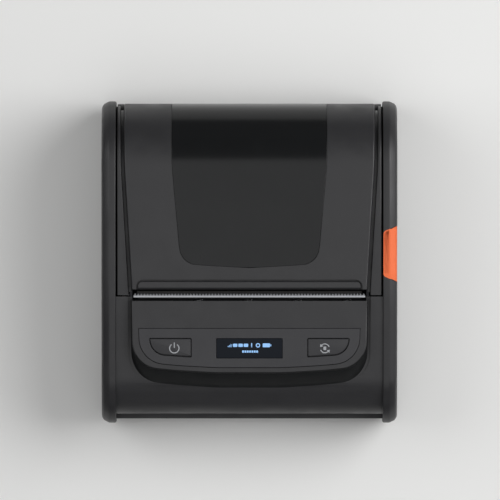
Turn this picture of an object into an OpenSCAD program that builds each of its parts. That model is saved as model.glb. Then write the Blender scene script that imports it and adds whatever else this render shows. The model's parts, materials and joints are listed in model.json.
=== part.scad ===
// Portable thermal printer for wide labels and receipts: a clamshell with a hinged lid over the
// paper bay. Millimetres. The outside drives: the paper's width, the roll and the battery take the
// room that the casing leaves them. The origin is the middle of the footprint, on the surface it stands on.
// +X is the side with the coloured lid release, -Y is the front with the keys, +Z is up.

/* [Casing] */
// Overall width, over the two end cheeks
body_w = 145; // [142:1:165]
// Overall length, over the end cheeks
body_l = 158; // [154:1:180]
// Overall height, feet included
body_h = 72; // [70:1:82]
// Thickness of each end cheek
cheek_t = 7; // [6:0.5:9]
// Width of the chamfer round the outside of a cheek
cheek_chamfer = 3.4; // [2:0.2:5]
// How far the cheeks stand past the case at the front and the back
cheek_proud = 2; // [1:0.2:3]
// How far the cheeks stand above the shoulders
cheek_rise = 1.2; // [0.4:0.2:1.6]
// Wall of the moulded cases
wall = 2.2; // [1.8:0.1:2.6]
// Height of the rubber feet under the case
foot_h = 2; // [1:0.25:3]
// Length of the deck, from the front of the cheeks to the tear bar
deck_l = 62.6; // [60:0.5:70]
// How far the deck lies below the top, at its front edge
deck_fall = 7.5; // [6:0.5:10]
// How far the deck lies below the top, at the tear bar
tear_fall = 2.5; // [1.5:0.25:4]
// Length from the front of the cheeks to the foot of the raised deck
ledge_l = 18; // [16:0.5:20]
// How far the ledge before the raised deck lies below the top
ledge_fall = 14.5; // [13:0.5:18]
// Drop from the raised middle to the shoulders beside it, at the back of the lid
shoulder_drop = 1.8; // [1:0.2:2.4]
// Drop from the raised middle to the shoulders beside it, at the tear bar
shoulder_step = 3; // [2:0.2:3.6]
// Radius of the nose under the ledge
nose_r = 16; // [12:1:18]
// Radius of the case's front bottom edge
toe_r = 8; // [5:0.5:10]
// Radius of the long curve at the top of the back
rear_r = 29; // [24:1:32]
// Radius of the case's rear bottom edge
heel_r = 10; // [6:0.5:11]
// Height of the joint between the lower case and the deck case
split_h = 28; // [26:0.5:30]
// Lip of the lower case in front of the deck case
lip = 2.5; // [1.5:0.25:3]

/* [Lid] */
// Gap between the lid and each cheek
lid_gap = 0.5; // [0.4:0.05:0.8]
// Height of the hinge pin's centre
hinge_h = 26; // [24:0.5:28]
// Radius of the lid's hinge barrel
barrel_r = 6.5; // [6:0.25:7]
// Diameter of the hinge pin
pin_d = 4; // [3:0.25:5]
// Depth of the lid's skirt at its front corner
skirt_h = 14.5; // [12:0.5:16]
// Length of the separate nose at the lid's front edge
nose_l = 3.9; // [3:0.1:5]
// How far the nose ends short of the paper's edge
nose_in = 1; // [0.5:0.1:3]
// Width of each shoulder beside the raised middle, at the back
shoulder_rear_w = 3.3; // [2.6:0.1:5]
// Width of each shoulder beside the raised middle, at the lid's front edge
shoulder_w = 7; // [6:0.1:8]
// Width of the smoked window, at the back
window_w = 76; // [70:1:84]
// Width of the smoked window, at its front edge
window_front_w = 67.2; // [62:0.4:72]
// Thickness of the window
window_t = 1.4; // [1:0.1:1.8]
// Height that the window reaches down to on the back
window_low = 44; // [38:1:50]

/* [Paper bay] */
// Gap between the print mechanism and the paper bay
bay_gap = 2.1; // [1.5:0.1:4]
// Wall of the paper bay's liner
bay_wall = 1.5; // [1.2:0.1:2]
// Room from the paper's edge to the cheek, for the guides, the gears and the latch
side_room = 10; // [10:0.25:13]
// Width of the narrowest paper
media_min = 40; // [36:1:58]
// Thickness of each paper guide
guide_t = 2.4; // [2:0.1:3]
// How far the guides' rims lie inside the paper bay
guide_in = 6.5; // [5:0.5:10]

/* [Print mechanism] */
// Diameter of the rubber platen roller
platen_d = 11; // [10:0.25:11.5]
// Diameter of the platen's steel shaft
shaft_d = 5; // [4:0.25:5.5]
// Outside diameter of the platen's bushes
bush_d = 8; // [7.5:0.25:8.5]
// Depth of the platen's centre below the deck at the tear bar
platen_deep = 11; // [10.5:0.25:12]
// Distance from the tear bar's front edge back to the platen's centre
platen_back = 8.9; // [8.6:0.1:9.4]
// Module of the gears: pitch diameter over teeth
gear_m = 0.5; // [0.48:0.01:0.52]
// Teeth on the platen's gear
platen_teeth = 24; // [24:2:26]
// Teeth on the idler gear
idler_teeth = 36; // [34:2:38]
// Teeth on the motor's gear
motor_teeth = 12; // [12:2:14]
// Diameter of the stepper motor
motor_d = 18; // [15:0.5:19]
// Length of the stepper motor
motor_l = 20; // [14:1:24]
// Thickness of the mechanism's steel frame
frame_t = 1.2; // [1:0.1:1.4]
// Height of the platen's centre above the foot of the mechanism's frame
mech_h = 22.5; // [21.5:0.25:24]
// How far the tear bar reaches past the paper's edge
tear_over = 1.2; // [0.6:0.1:2]
// Spacing of the tear bar's teeth
tooth_pitch = 1.5; // [0.9:0.05:2]

/* [Keys and display] */
// Margin from the control panel insert to the side of the raised middle
panel_margin = 4.7; // [3.5:0.1:6.5]
// Length of the control panel insert, front to back
panel_l = 19.4; // [18:0.2:20]
// Distance from the tear bar's line to the control panel insert
panel_back = 16.3; // [15:0.1:17]
// Thickness of the control panel insert
panel_t = 1.6; // [1.2:0.1:2]
// Width of each key
key_w = 19.6; // [16:0.2:21]
// Length of each key, front to back
key_l = 9.4; // [8:0.2:10]
// Travel of each key
key_travel = 0.6; // [0.4:0.1:1]
// Margin from a key to the end of the insert
keys_margin = 5.5; // [4.8:0.1:8]
// Width of the display window
display_w = 32.2; // [28:0.2:36]
// Length of the display window, front to back
display_l = 9.6; // [8:0.2:10]

/* [Lid release] */
// Length of the release button at the outside of the cheek
release_l = 27.6; // [24:0.2:30]
// Length of the release button at the inside of the cheek
release_in_l = 22; // [18:0.5:23]
// Distance from the tear bar's line back to the middle of the release button
release_back = 20.4; // [18:0.2:24]
// Height of the release button
release_h = 12; // [10:0.5:14]
// Travel of the release button
release_travel = 2.5; // [2:0.1:3]
// Reach of the latch lever from the latch shaft
lever_l = 12; // [11:0.25:13]
// Diameter of the latch shaft
latch_d = 4; // [3.5:0.25:4.5]

/* [Battery and boards] */
// Length of the battery pack along the case
battery_l = 42; // [38:0.5:43]
// Height of the mechanism above the main board
board_gap = 8; // [7:0.25:10]
// Height of the main board above the battery pack
battery_gap = 2.8; // [2:0.1:4]
// Depth of the battery pack, from the side of the case inwards
battery_w = 92; // [80:1:100]
// Thickness of the circuit boards
board_t = 1.6; // [1:0.2:1.6]
// Width of the port cover
port_w = 30; // [28:0.5:32]
// Height of the port cover
port_h = 10; // [9:0.25:11]

/* [Mounts and fasteners] */
// Spacing of the four clip inserts across the case
clip_x = 70; // [50:1:90]
// Spacing of the four clip inserts along the case
clip_y = 46; // [44:0.5:47]
// Hole in each clip insert
clip_hole_d = 3.3; // [2.5:0.1:4]
// Outside diameter of each clip insert
insert_d = 5.6; // [5:0.1:7]
// Diameter of the rubber feet
foot_d = 13; // [10:0.5:16]
// Thread diameter of the case screws
screw_d = 2.6; // [2:0.1:3]

/* [Hidden] */
$fn = 48;
eps = 0.01;
fit = 0.15;          // clearance between fixed pieces that drop into each other
run = 0.05;          // radial clearance of a shaft in its bearing
free = 0.4;          // clearance round moving pieces

// Stations along the length and heights that the pieces share
half_l = body_l / 2;
half_w = body_w / 2;
cheek_in = half_w - cheek_t;              // inner face of a cheek
case_hw = cheek_in;                       // the cases meet the cheeks
lid_hw = cheek_in - lid_gap;
media_w = 2 * (case_hw - side_room);      // widest paper
tongue_w = 2 * (case_hw - shoulder_w);    // raised middle, at the lid's front edge
tongue_rear_w = 2 * (case_hw - shoulder_rear_w);
nose_w = media_w - 2 * nose_in;
tear_w = media_w + 2 * tear_over;
panel_w = tongue_w - 2 * panel_margin;
keys_span = panel_w - 2 * keys_margin;
case_front = half_l - cheek_proud;
tongue_back = half_l - cheek_proud * 0.6; // back of the raised middle
case_back = tongue_back - 1.2;            // back of the shoulders
tear_y = -half_l + deck_l;
ledge_y = -half_l + ledge_l;
deck_len = deck_l - ledge_l - 5.8;        // length of the raised deck along its slope
crest_y = tear_y + 42;
bend_y = tongue_back - rear_r - 0.8;       // where the raised middle and the window stop widening
deck_back_h = body_h - tear_fall;
ledge_h = body_h - ledge_fall;
case_top = body_h - shoulder_drop;
shoulder_h = deck_back_h - shoulder_step;
floor_h = foot_h + wall;
deck_tilt = atan((tear_fall - deck_fall) / -(deck_l - ledge_l - 4));
lid_front = tear_y + 0.2;                 // front edge of the lid's shoulders
nose_front = tear_y + 3;                  // front edge of the raised middle of the lid
hinge_y = tongue_back - barrel_r;
trough_r = barrel_r + free;               // inside of the hinge trough
skirt_front_h = shoulder_h - skirt_h;     // bottom of the lid's skirt at the front

// Print mechanism, in the YZ plane
platen_y = tear_y + platen_back - 1.2;
platen_h = deck_back_h - platen_deep;
platen_gear_r = gear_m * platen_teeth / 2;
idler_gear_r = gear_m * idler_teeth / 2;
motor_gear_r = gear_m * motor_teeth / 2;
idler_dir = 240;                          // direction from the platen to the idler
motor_dir = 168;                          // direction from the idler to the motor
idler_at = [platen_y, platen_h] + (platen_gear_r + idler_gear_r) * [cos(idler_dir), sin(idler_dir)];
motor_at = idler_at + (idler_gear_r + motor_gear_r) * [cos(motor_dir), sin(motor_dir)];
head_y = platen_y - platen_d / 2 - 0.15;  // face of the print head
latch_at = [platen_y - 0.3, platen_h - 14];
bracket_x = media_w / 2 + free;           // inner face of the platen bracket's arms
arm_t = 1;
plate_x = bracket_x + arm_t + 0.5;        // inner face of the mechanism's side plates
hook_x = plate_x + frame_t + free;        // inner face of the latch hooks
hook_t = 1.2;
gear_x = -(hook_x + hook_t + 0.6);        // inner side of the gear train
gear_w = 1.6;
mech_z = platen_h - mech_h;               // underside of the mechanism's frame
frame_front = head_y - 6;                 // front and back of the mechanism's frame
frame_back = platen_y + 6.6;
upright_x = motor_l - plate_x + 3.4;      // the frame's upright starts beside the motor

// Paper bay: it fills the room between the mechanism and the hinge trough
bay_front = frame_back + bay_gap;
bay_back = hinge_y - trough_r - wall - 2.2;
bay_r = (bay_back - bay_front) / 2 - bay_wall;
bay_y = bay_front + bay_wall + bay_r;
bay_h = floor_h + 6.3 + bay_r;            // height of the roll's centre
guide_x = media_w / 2 + free;             // inner face of a paper guide at its widest
bay_hw = guide_x + guide_t + 1.7;         // inner half width of the paper bay
guide_r = bay_r - guide_in;

// Release button, battery, boards
release_y = tear_y + release_back;
arm_h = latch_at[1] + latch_d / 2 + 1.2 + release_travel + free; // underside of the release button's arm
battery_y = -half_l + 13;                 // front of the battery pack
battery_z = floor_h + 1;
board_z = mech_z - board_gap;
battery_h = board_z - battery_gap - battery_z;
battery_end = -half_w + battery_w + fit;  // inner end of the battery compartment
port_y = -half_l + 36;
port_z = board_z + board_t + 2.6;
knuckle_x = case_hw - 15.1;               // inner face of the case's hinge knuckles
knuckle_w = 7.2;
pin_half = knuckle_x + knuckle_w + 3;     // half the hinge pin's length
deck_post = [case_hw - 9.5, -case_front + lip + 5];
mech_post = [case_hw - 13.5, tear_y + 5];
board_post = [case_hw - 14.5, battery_y + battery_l + 6.4];

// Rounded outlines: each point is [x, y, radius]
function flat(p) = [p[0], p[1]];
function unit(v) = v / norm(v);
function turn(d) = d > 180 ? d - 360 : d < -180 ? d + 360 : d;
function arc_points(o, r, a, sweep) =
    let(n = max(1, ceil(abs(sweep) / 7)))
    [for (i = [0:n]) o + r * [cos(a + sweep * i / n), sin(a + sweep * i / n)]];
function corner(a, b, c, r) =
    let(u = unit(a - b), w = unit(c - b), half = acos(max(-1, min(1, u * w))) / 2)
    r < eps || half > 89.9 ? [b] :
    let(s = b + u * r / tan(half), e = b + w * r / tan(half), o = b + unit(u + w) * r / sin(half),
        a0 = atan2(s.y - o.y, s.x - o.x), a1 = atan2(e.y - o.y, e.x - o.x))
    arc_points(o, r, a0, turn(a1 - a0));
function rounded(pts) = let(n = len(pts))
    [for (i = [0:n - 1])
        each corner(flat(pts[(i + n - 1) % n]), flat(pts[i]), flat(pts[(i + 1) % n]), pts[i][2])];
function mirrored(right) =
    concat(right, [for (i = [len(right) - 1:-1:0]) [-right[i][0], right[i][1], right[i][2]]]);

// Side outline of the cases, grown at the front, back and top
function side_points(f, b, t) = [
    [-case_front - f, foot_h, toe_r], [-case_front - f, ledge_h - 9 + t, nose_r + f],
    [ledge_y, ledge_h + t, 25], [tear_y, shoulder_h + t, 200], [crest_y, case_top + t, 150],
    [case_back + b, case_top + t, rear_r - 1.2 + b], [case_back + b, foot_h, heel_r]];
module case_2d() polygon(rounded(side_points(0, 0, 0)));
module deck_2d() polygon(rounded(side_points(-lip, 0, 0)));
module cheek_2d() polygon(rounded(side_points(cheek_proud, half_l - case_back, cheek_rise)));
// Side outline of the raised middle of the lid
module tongue_2d() polygon(rounded([
    [tear_y - 12, foot_h + 20, 0], [tear_y - 12, deck_back_h - 12 * tan(deck_tilt), 0],
    [tear_y, deck_back_h, 150], [crest_y, body_h, 150],
    [tongue_back, body_h, rear_r], [tongue_back, foot_h + 20, 0]]));

// Extrudes a YZ outline along X, about the middle or from x on
module along_x(w, x = undef) translate([is_undef(x) ? -w / 2 : x, 0, 0]) rotate([90, 0, 90])
    linear_extrude(w) children();
module rod(r, x, w, at) translate([x, at[0], at[1]]) rotate([0, 90, 0]) cylinder(r = r, h = w);
module both() { children(); mirror([1, 0, 0]) children(); }
module block(lo, hi) translate(lo) cube(hi - lo);
// Places things on the sloping deck: x across, y back from the tear bar's line, z out of the deck
module on_deck() translate([0, tear_y, deck_back_h]) rotate([deck_tilt, 0, 0]) children();
module screw(d, l) union() {
    translate([0, 0, -eps]) cylinder(d = d, h = l + eps);
    translate([0, 0, -d * 0.7]) cylinder(d = d * 1.9, h = d * 0.7);
}

// Plan outlines
function deck_plan(hw, y_back, y_front, bow, r) =
    mirrored([[hw + 0.4, y_back, 0], [hw, y_front + bow, r],
        [hw * 0.64, y_front + bow * 0.38, 0], [hw * 0.3, y_front + bow * 0.03, 0]]);
function lid_tongue_plan(inset) = mirrored([[tongue_w / 2 - inset, nose_front, 0],
    [tongue_rear_w / 2 - inset, bend_y, 200], [tongue_rear_w / 2 + 0.2 - inset, half_l + 5, 0]]);
function window_plan(grow) = let(front = tear_y + 13.6 - grow)
    mirrored([[0.01, front, 0], [window_front_w / 2 + grow, front + 1.9, 9],
    [window_w / 2 + grow, bend_y, 80], [window_w / 2 + grow, half_l + 5, 0]]);
module plan(points, z = 0, h = 100) translate([0, 0, z]) linear_extrude(h) polygon(rounded(points));

// The lid's outline seen from the side, and the same reduced for what lies below it
module lid_reach(gap = 0) {
    polygon([[lid_front - gap, skirt_front_h - gap], [lid_front - gap, 120], [half_l + 9, 120],
        [half_l + 9, hinge_h - gap], [hinge_y, hinge_h - gap]]);
    translate([hinge_y, hinge_h]) circle(r = barrel_r + gap);
}

module tongue_front(inset) hull() {
    translate([0, 0, ledge_h - 2 - inset]) linear_extrude(eps)
        polygon(rounded(deck_plan(tongue_w / 2 + 0.6 - inset, tear_y - 2.2 + inset / 10,
            ledge_y - 1.7 + inset, 2.6, 14 - inset)));
    on_deck() translate([0, 0, -eps - inset]) linear_extrude(eps)
        polygon(rounded(deck_plan(tongue_w / 2 - 0.8 - inset, -2.2 + inset / 10, inset - deck_len,
            3.4, 14 - inset)));
}

module lower_case() color([0.16, 0.165, 0.17]) difference() {
    union() {
        difference() {
            lower_shell();
            // Hinge trough, and room for the lid's back edge when the lid stands open
            along_x(2 * case_hw + 1) {
                translate([hinge_y, hinge_h]) circle(r = trough_r);
                translate([hinge_y, hinge_h - barrel_r - 0.9]) square([20, 20]);
            }
        }
        // Hinge knuckles
        both() rod(barrel_r - 0.5, knuckle_x, knuckle_w, [hinge_y, hinge_h]);
        both() block([knuckle_x, hinge_y - trough_r - 1, hinge_h - barrel_r - 1.2],
            [knuckle_x + knuckle_w, hinge_y - 0.5, hinge_h]);
        // Screw posts for the deck case, the mechanism and the main board
        both() for (p = [concat(deck_post, split_h), concat(mech_post, mech_z), concat(board_post, board_z)])
            translate([p[0], p[1], floor_h - eps]) cylinder(d = 6, h = p[2] - floor_h + eps);
        // Battery compartment
        block([-case_hw + eps, battery_y - fit - 1.2, foot_h + eps],
            [battery_end + 1.2, battery_y + battery_l + fit + 1.2, battery_z + battery_h + fit + 1.2]);
        // Bosses round the clip inserts, and the paper guide pinion's post
        clip_places() translate([0, 0, floor_h - eps]) cylinder(d = insert_d + 3.4, h = 3.4);
        translate([0, bay_y, floor_h - eps]) cylinder(r = 2, h = 3.6);
    }
    rod(pin_d / 2, -pin_half - free, 2 * (pin_half + free), [hinge_y, hinge_h]);
    battery_bay(fit);
    contacts(run);
    clip_places() translate([0, 0, foot_h - 1]) cylinder(d = insert_d, h = 6.4);
    feet_at() translate([0, 0, -1]) cylinder(d = foot_d, h = foot_h + 1.6);
    both() translate([deck_post[0], deck_post[1], foot_h - 1]) {
        cylinder(d = screw_d + 0.4, h = split_h);
        cylinder(d = screw_d * 1.9 + 0.6, h = 3.6);
    }
    mech_screws_at() cylinder(d = screw_d, h = 16, center = true);
    board_screws_at() cylinder(d = screw_d - 0.6, h = 10, center = true);
    cheek_screws_at() cylinder(d = screw_d + 0.3, h = 8, center = true);
    rod(latch_d / 2 + run, case_hw - wall - 1, wall + 2, latch_at);
}
module lower_shell() {
    along_x(2 * case_hw) difference() {
        lower_reach() case_2d();
        difference() {
            offset(delta = -wall) case_2d();
            translate([hinge_y, hinge_h]) circle(r = trough_r + wall);
        }
    }
    both() along_x(wall, case_hw - wall) lower_reach() case_2d();
}
// Keeps the part of a side outline that lies below the deck case and the lid
module lower_reach() intersection() {
    children();
    polygon([[-half_l - 5, 0], [-half_l - 5, split_h],
        [tear_y - 0.5, split_h], [tear_y - 0.5, skirt_front_h - free],
        [hinge_y, hinge_h - free], [hinge_y, hinge_h - barrel_r - 0.9],
        [half_l + 9, hinge_h - barrel_r - 0.9], [half_l + 9, 0]]);
}

module clip_places() both() for (s = [-1, 1]) translate([clip_x / 2, bay_y + s * clip_y / 2, 0]) children();
module mech_screws_at() both() translate([mech_post[0], mech_post[1], mech_z]) children();
module board_screws_at() both() translate([board_post[0], board_post[1], board_z + board_t]) children();
module cheek_screws_at() both()
    for (p = [[bay_y - 22, floor_h + 4], [hinge_y - 8, floor_h + 5], [-case_front + 6.5, split_h - 5]])
        translate([case_hw - wall, p[0], p[1]]) rotate([0, 90, 0]) children();
module feet_at() both() for (s = [-1, 1]) translate([half_w - 20, s * (half_l - 19), 0]) children();
module battery_bay(gap) block([-half_w - 1, battery_y - gap, battery_z - gap],
    [battery_end, battery_y + battery_l + gap, battery_z + battery_h + gap]);

module deck_case() color([0.2, 0.205, 0.21]) difference() {
    union() {
        along_x(2 * case_hw) intersection() {
            deck_2d();
            translate([-half_l, split_h]) square([half_l + tear_y - 0.5, 60]);
        }
        tongue_front(0);
    }
    difference() {
        union() {
            along_x(2 * (case_hw - wall)) intersection() {
                offset(delta = -wall) deck_2d();
                translate([-half_l, split_h - 1]) square([half_l + tear_y + 1, 60]);
            }
            intersection() {
                tongue_front(wall);
                block([-80, -80, split_h], [80, tear_y + 1, 90]);
            }
        }
        // Screw bosses at the front corners
        both() translate([deck_post[0], deck_post[1], split_h]) cylinder(d = 6, h = 20);
    }
    // Seat of the tear bar, and the groove in front of it
    block([-tear_w / 2 - 0.6, tear_y - 2.3, 40], [tear_w / 2 + 0.6, tear_y + 2, 90]);
    // Recess of the control panel, and the way through it
    on_deck() translate([0, 0, -panel_t]) plan(panel_plan(fit));
    on_deck() translate([0, 0, -12]) plan(panel_plan(-2.4));
    both() translate([deck_post[0], deck_post[1], split_h - 1]) cylinder(d = screw_d, h = 9);
    port_way();
}
// Way through the case and the cheek to the two sockets
module port_way() block([-half_w - 1, port_y - port_w / 2 + 2, port_z - port_h / 2 + 1.4],
    [-case_hw + wall + 1, port_y + port_w / 2 - 2, port_z + port_h / 2 - 1.4]);

function panel_plan(grow) =
    deck_plan(panel_w / 2 + grow, grow - panel_back, -panel_back - panel_l - grow, 2.9, 13 + grow);
function keys_plan(grow) = let(back = -panel_back - 5.1 + grow)
    deck_plan(keys_span / 2 + grow, back, back - grow - key_l - grow, 2, 7.5 + grow);
module key_2d(grow) intersection() {
    polygon(rounded(keys_plan(grow)));
    translate([keys_span / 2 - key_w - grow, -60]) square([key_w + 2 * grow + 0.4, 60]);
}
module display_2d(grow) translate([-display_w / 2 - grow, -panel_back - 5 - display_l - grow])
    square([display_w + 2 * grow, display_l + 2 * grow]);

module panel_insert() color([0.21, 0.215, 0.22]) on_deck() translate([0, 0, -panel_t]) difference() {
    linear_extrude(panel_t) polygon(rounded(panel_plan(0)));
    translate([0, 0, -1]) linear_extrude(9) { both() key_2d(0.35); display_2d(-1.2); }
    translate([0, 0, panel_t - 1]) linear_extrude(9) display_2d(fit);
}

key_deep = 1.6;                           // how far a key reaches below the insert
key_board_deep = 4.4;                     // depth of the key board's top below the deck
module key() on_deck() {
    translate([0, 0, -panel_t - key_deep]) linear_extrude(panel_t + key_deep - 0.2) key_2d(0);
    translate([0, 0, -panel_t - key_deep]) linear_extrude(0.9) key_2d(1.2);
}
module power_key() color([0.2, 0.205, 0.21]) mirror([1, 0, 0]) key();
module feed_key() color([0.2, 0.205, 0.21]) key();
module display_lens() color([0.05, 0.07, 0.09]) on_deck() translate([0, 0, -1])
    linear_extrude(0.95) display_2d(0);
module display_module() color([0.1, 0.12, 0.16]) on_deck() translate([0, 0, -key_board_deep])
    linear_extrude(1.6) display_2d(-1);
module key_board() color([0.1, 0.35, 0.2]) on_deck() translate([0, 0, -key_board_deep - board_t])
    linear_extrude(board_t) polygon(rounded(panel_plan(-3.4)));
module key_switches() color([0.75, 0.76, 0.78]) on_deck() both()
    translate([keys_span / 2 - key_w / 2, -panel_back - 9.8, -key_board_deep]) {
        translate([-2.6, -2.6, 0]) cube([5.2, 5.2, 0.4]);
        cylinder(d = 2.6, h = key_board_deep - panel_t - key_deep - key_travel - run);
    }

module cheek() difference() {
    union() {
        along_x(cheek_t - cheek_chamfer, cheek_in) cheek_2d();
        hull() {
            along_x(eps, half_w - cheek_chamfer - eps) cheek_2d();
            along_x(eps, half_w - cheek_chamfer * 0.35) offset(r = -cheek_chamfer * 0.35) cheek_2d();
            along_x(eps, half_w - eps) offset(r = -cheek_chamfer) cheek_2d();
        }
    }
}
module left_cheek() color([0.24, 0.245, 0.25]) difference() {
    mirror([1, 0, 0]) cheek();
    battery_bay(fit);
    port_way();
    // Seat of the port cover
    block([-half_w - 1, port_y - port_w / 2 - free, port_z - port_h / 2 - free],
        [-half_w + cover_t + 0.3, port_y + port_w / 2 + free, port_z + port_h / 2 + free]);
    cheek_screws_at() cylinder(d = screw_d, h = 12, center = true);
}
module right_cheek() color([0.24, 0.245, 0.25]) difference() {
    cheek();
    release_well(free);
    cheek_screws_at() cylinder(d = screw_d, h = 12, center = true);
}

// Plan outline of the release button: longer at the outside of the cheek
function release_plan(grow) = [
    [cheek_in + 0.2 - grow, release_y - release_in_l / 2 - grow, 2],
    [half_w + grow, release_y - release_l / 2 - grow, 3],
    [half_w + grow, release_y + release_l / 2 + grow, 3],
    [cheek_in + 0.2 - grow, release_y + release_in_l / 2 + grow, 2]];
module release_well(gap) {
    top = case_top + cheek_rise;
    translate([0, 0, top - release_h - release_travel - gap])
        linear_extrude(40) polygon(rounded(release_plan(gap)));
    // Slot for the foot that reaches forward to the latch lever
    block([cheek_in - 1, latch_at[0] - lever_l - 4, latch_at[1] - 5],
        [cheek_in + 3.6, release_y + 8, top - release_h - release_travel]);
}
module release_button() color([1, 0.42, 0.2]) {
    top = case_top + cheek_rise;
    difference() {
        intersection() {
            translate([0, 0, top - release_h]) linear_extrude(40) polygon(rounded(release_plan(0)));
            hull() {
                along_x(cheek_t - cheek_chamfer, cheek_in) cheek_2d();
                along_x(eps, half_w - cheek_chamfer * 0.35) offset(r = -cheek_chamfer * 0.35) cheek_2d();
                along_x(eps, half_w - 0.2) offset(r = -cheek_chamfer) cheek_2d();
            }
        }
        // Grip grooves
        for (i = [-1:1]) rod(0.5, cheek_in, 9, [release_y + i * 4.5, top - 0.05 - i * 0.1]);
    }
    // Stem down and arm forward, with a prong over the tip of the latch lever
    block([cheek_in + 0.5, release_y - 4, arm_h], [cheek_in + 3, release_y + 3, top - release_h + 1]);
    block([cheek_in + 0.5, latch_at[0] - lever_l - 1.4, arm_h], [cheek_in + 3, release_y + 3, arm_h + 2.8]);
    block([cheek_in + 0.5, latch_at[0] - lever_l - 1.4, latch_at[1] + 1.4 + free],
        [cheek_in + 3, latch_at[0] - lever_l + 1.4, arm_h + 1]);
}
module release_spring() color("silver") {
    translate([cheek_in + 1.75, release_y + 1.5, latch_at[1] - 5]) difference() {
        cylinder(d = 2.4, h = arm_h - latch_at[1] + 5 - eps);
        translate([0, 0, -1]) cylinder(d = 1.6, h = 14);
    }
}

module latch_bar() color([0.6, 0.61, 0.63]) {
    rod(latch_d / 2, -hook_x - hook_t, 2 * (hook_x + hook_t), latch_at);
    rod(latch_d / 2, hook_x, cheek_in + 3 - hook_x, latch_at);
    // Hooks in front of the platen's bushes, leaning back over them
    both() along_x(hook_t, hook_x) {
        translate(latch_at) circle(r = latch_d / 2 + 1.6);
        c = [platen_y, platen_h];
        n = [-cos(20), sin(20)];
        t = [sin(20), cos(20)];
        r = bush_d / 2 + 0.3;
        polygon([c + r * n + 1.8 * t, c + (r + 2.2) * n + 1.8 * t, c + [-r - 2.4, 0], latch_at + [-3.4, 0],
            latch_at + [1.5, 1], c + [-r + 0.6, -4.5], c + [-r, -1.2], c + r * n]);
    }
    // Lever under the release button's foot
    along_x(2.2, cheek_in + 0.6) {
        translate(latch_at) circle(r = latch_d / 2 + 1.2);
        translate(latch_at + [-lever_l, -1.4]) square([lever_l, 2.8]);
    }
}

module lid_shell() color([0.2, 0.205, 0.21]) difference() {
    union() {
        both() along_x(wall, lid_hw - wall) lid_2d();
        along_x(2 * (lid_hw - wall)) offset(delta = 0) difference() { lid_2d(); lid_hollow_2d(); }
        // Raised middle
        intersection() {
            along_x(140) offset(delta = 0) difference() {
                intersection() { tongue_2d(); lid_reach(); }
                offset(delta = -wall) case_2d();
            }
            plan(lid_tongue_plan(0));
        }
    }
    // Room for the platen and its bracket, and for the latch hooks
    block([-tongue_w / 2 + 0.6, lid_front - 1, 10], [tongue_w / 2 - 0.6, nose_front, 90]);
    block([-tongue_w / 2 + 0.6, lid_front - 1, 10],
        [tongue_w / 2 - 0.6, nose_front + 13, deck_back_h - wall]);
    block([-lid_hw + wall, lid_front - 1, 10], [lid_hw - wall, lid_front + wall + 1, shoulder_h - wall]);
    // Seat of the separate nose
    block([-nose_w / 2 - fit, nose_front - 1, 10], [nose_w / 2 + fit, nose_front + nose_l + fit, 90]);
    // Window opening with a rebate round it
    intersection() {
        plan(window_plan(-3));
        block([-80, -80, window_low + 3], [80, 90, 90]);
    }
    intersection() {
        along_x(140) offset(delta = 0) difference() {
            translate([-90, 0]) square([180, 90]);
            offset(delta = -window_t) tongue_2d();
        }
        plan(window_plan(fit));
        block([-80, -80, window_low - fit], [80, 90, 90]);
    }
    // Hinge: bore for the pin, room for the case's knuckles and for the springs
    rod(pin_d / 2 + run, -80, 160, [hinge_y, hinge_h]);
    both() rod(barrel_r + 0.1, knuckle_x - free, knuckle_w + 2 * free, [hinge_y, hinge_h]);
    // Room for the platen's gear under the shoulder
    rod(platen_gear_r + 1.2, gear_x - gear_w - free, gear_w + 2 * free, [platen_y, platen_h]);
    both() rod(barrel_r - 1.2, knuckle_x - 12, 12 - free + eps, [hinge_y, hinge_h]);
}
// The lid's side outline with its hinge barrel, and the hollow inside it
module lid_2d() offset(delta = 0) {
    intersection() { case_2d(); lid_reach(); }
    translate([hinge_y, hinge_h]) circle(r = barrel_r);
}
module lid_hollow_2d() difference() {
    intersection() {
        offset(delta = -wall) case_2d();
        translate([lid_front + wall, 0]) square([half_l * 2, 120]);
    }
    translate([hinge_y, hinge_h]) circle(r = barrel_r);
}

module lid_window() color([0.07, 0.075, 0.08]) intersection() {
    along_x(140) offset(delta = 0) difference() { tongue_2d(); offset(delta = -window_t + 0.05) tongue_2d(); }
    plan(window_plan(0));
    block([-80, -80, window_low], [80, 90, 90]);
}

module lid_nose() color([0.22, 0.225, 0.23]) intersection() {
    along_x(nose_w) difference() { tongue_2d(); offset(delta = -wall) tongue_2d(); }
    plan([[-nose_w / 2, nose_front, 0], [nose_w / 2, nose_front, 0],
        [nose_w / 2, nose_front + nose_l, 1.6], [-nose_w / 2, nose_front + nose_l, 1.6]], ledge_h);
}

module platen_bracket() color([0.62, 0.63, 0.65]) difference() {
    union() {
        block([-bracket_x - arm_t, nose_front + 0.3, deck_back_h - wall - 1.1],
            [bracket_x + arm_t, nose_front + 12, deck_back_h - wall]);
        both() along_x(arm_t, bracket_x) hull() {
            translate([platen_y, platen_h]) circle(r = shaft_d / 2 + 1.6);
            translate([platen_y - 3, deck_back_h - wall - 1]) square([8, 1]);
        }
    }
    rod(shaft_d / 2 + run, -70, 140, [platen_y, platen_h]);
}
module platen_roller() color([0.08, 0.08, 0.08]) difference() {
    rod(platen_d / 2, -media_w / 2, media_w, [platen_y, platen_h]);
    rod(shaft_d / 2, -media_w, 2 * media_w, [platen_y, platen_h]);
}
module platen_shaft() color("silver")
    rod(shaft_d / 2, gear_x - gear_w, hook_x + hook_t + 0.4 - gear_x + gear_w, [platen_y, platen_h]);
module platen_bushes() color([0.85, 0.83, 0.78]) both() difference() {
    rod(bush_d / 2, bracket_x + arm_t + 0.1, hook_x + hook_t - bracket_x - arm_t, [platen_y, platen_h]);
    rod(shaft_d / 2 + run, 40, 40, [platen_y, platen_h]);
}

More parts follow.
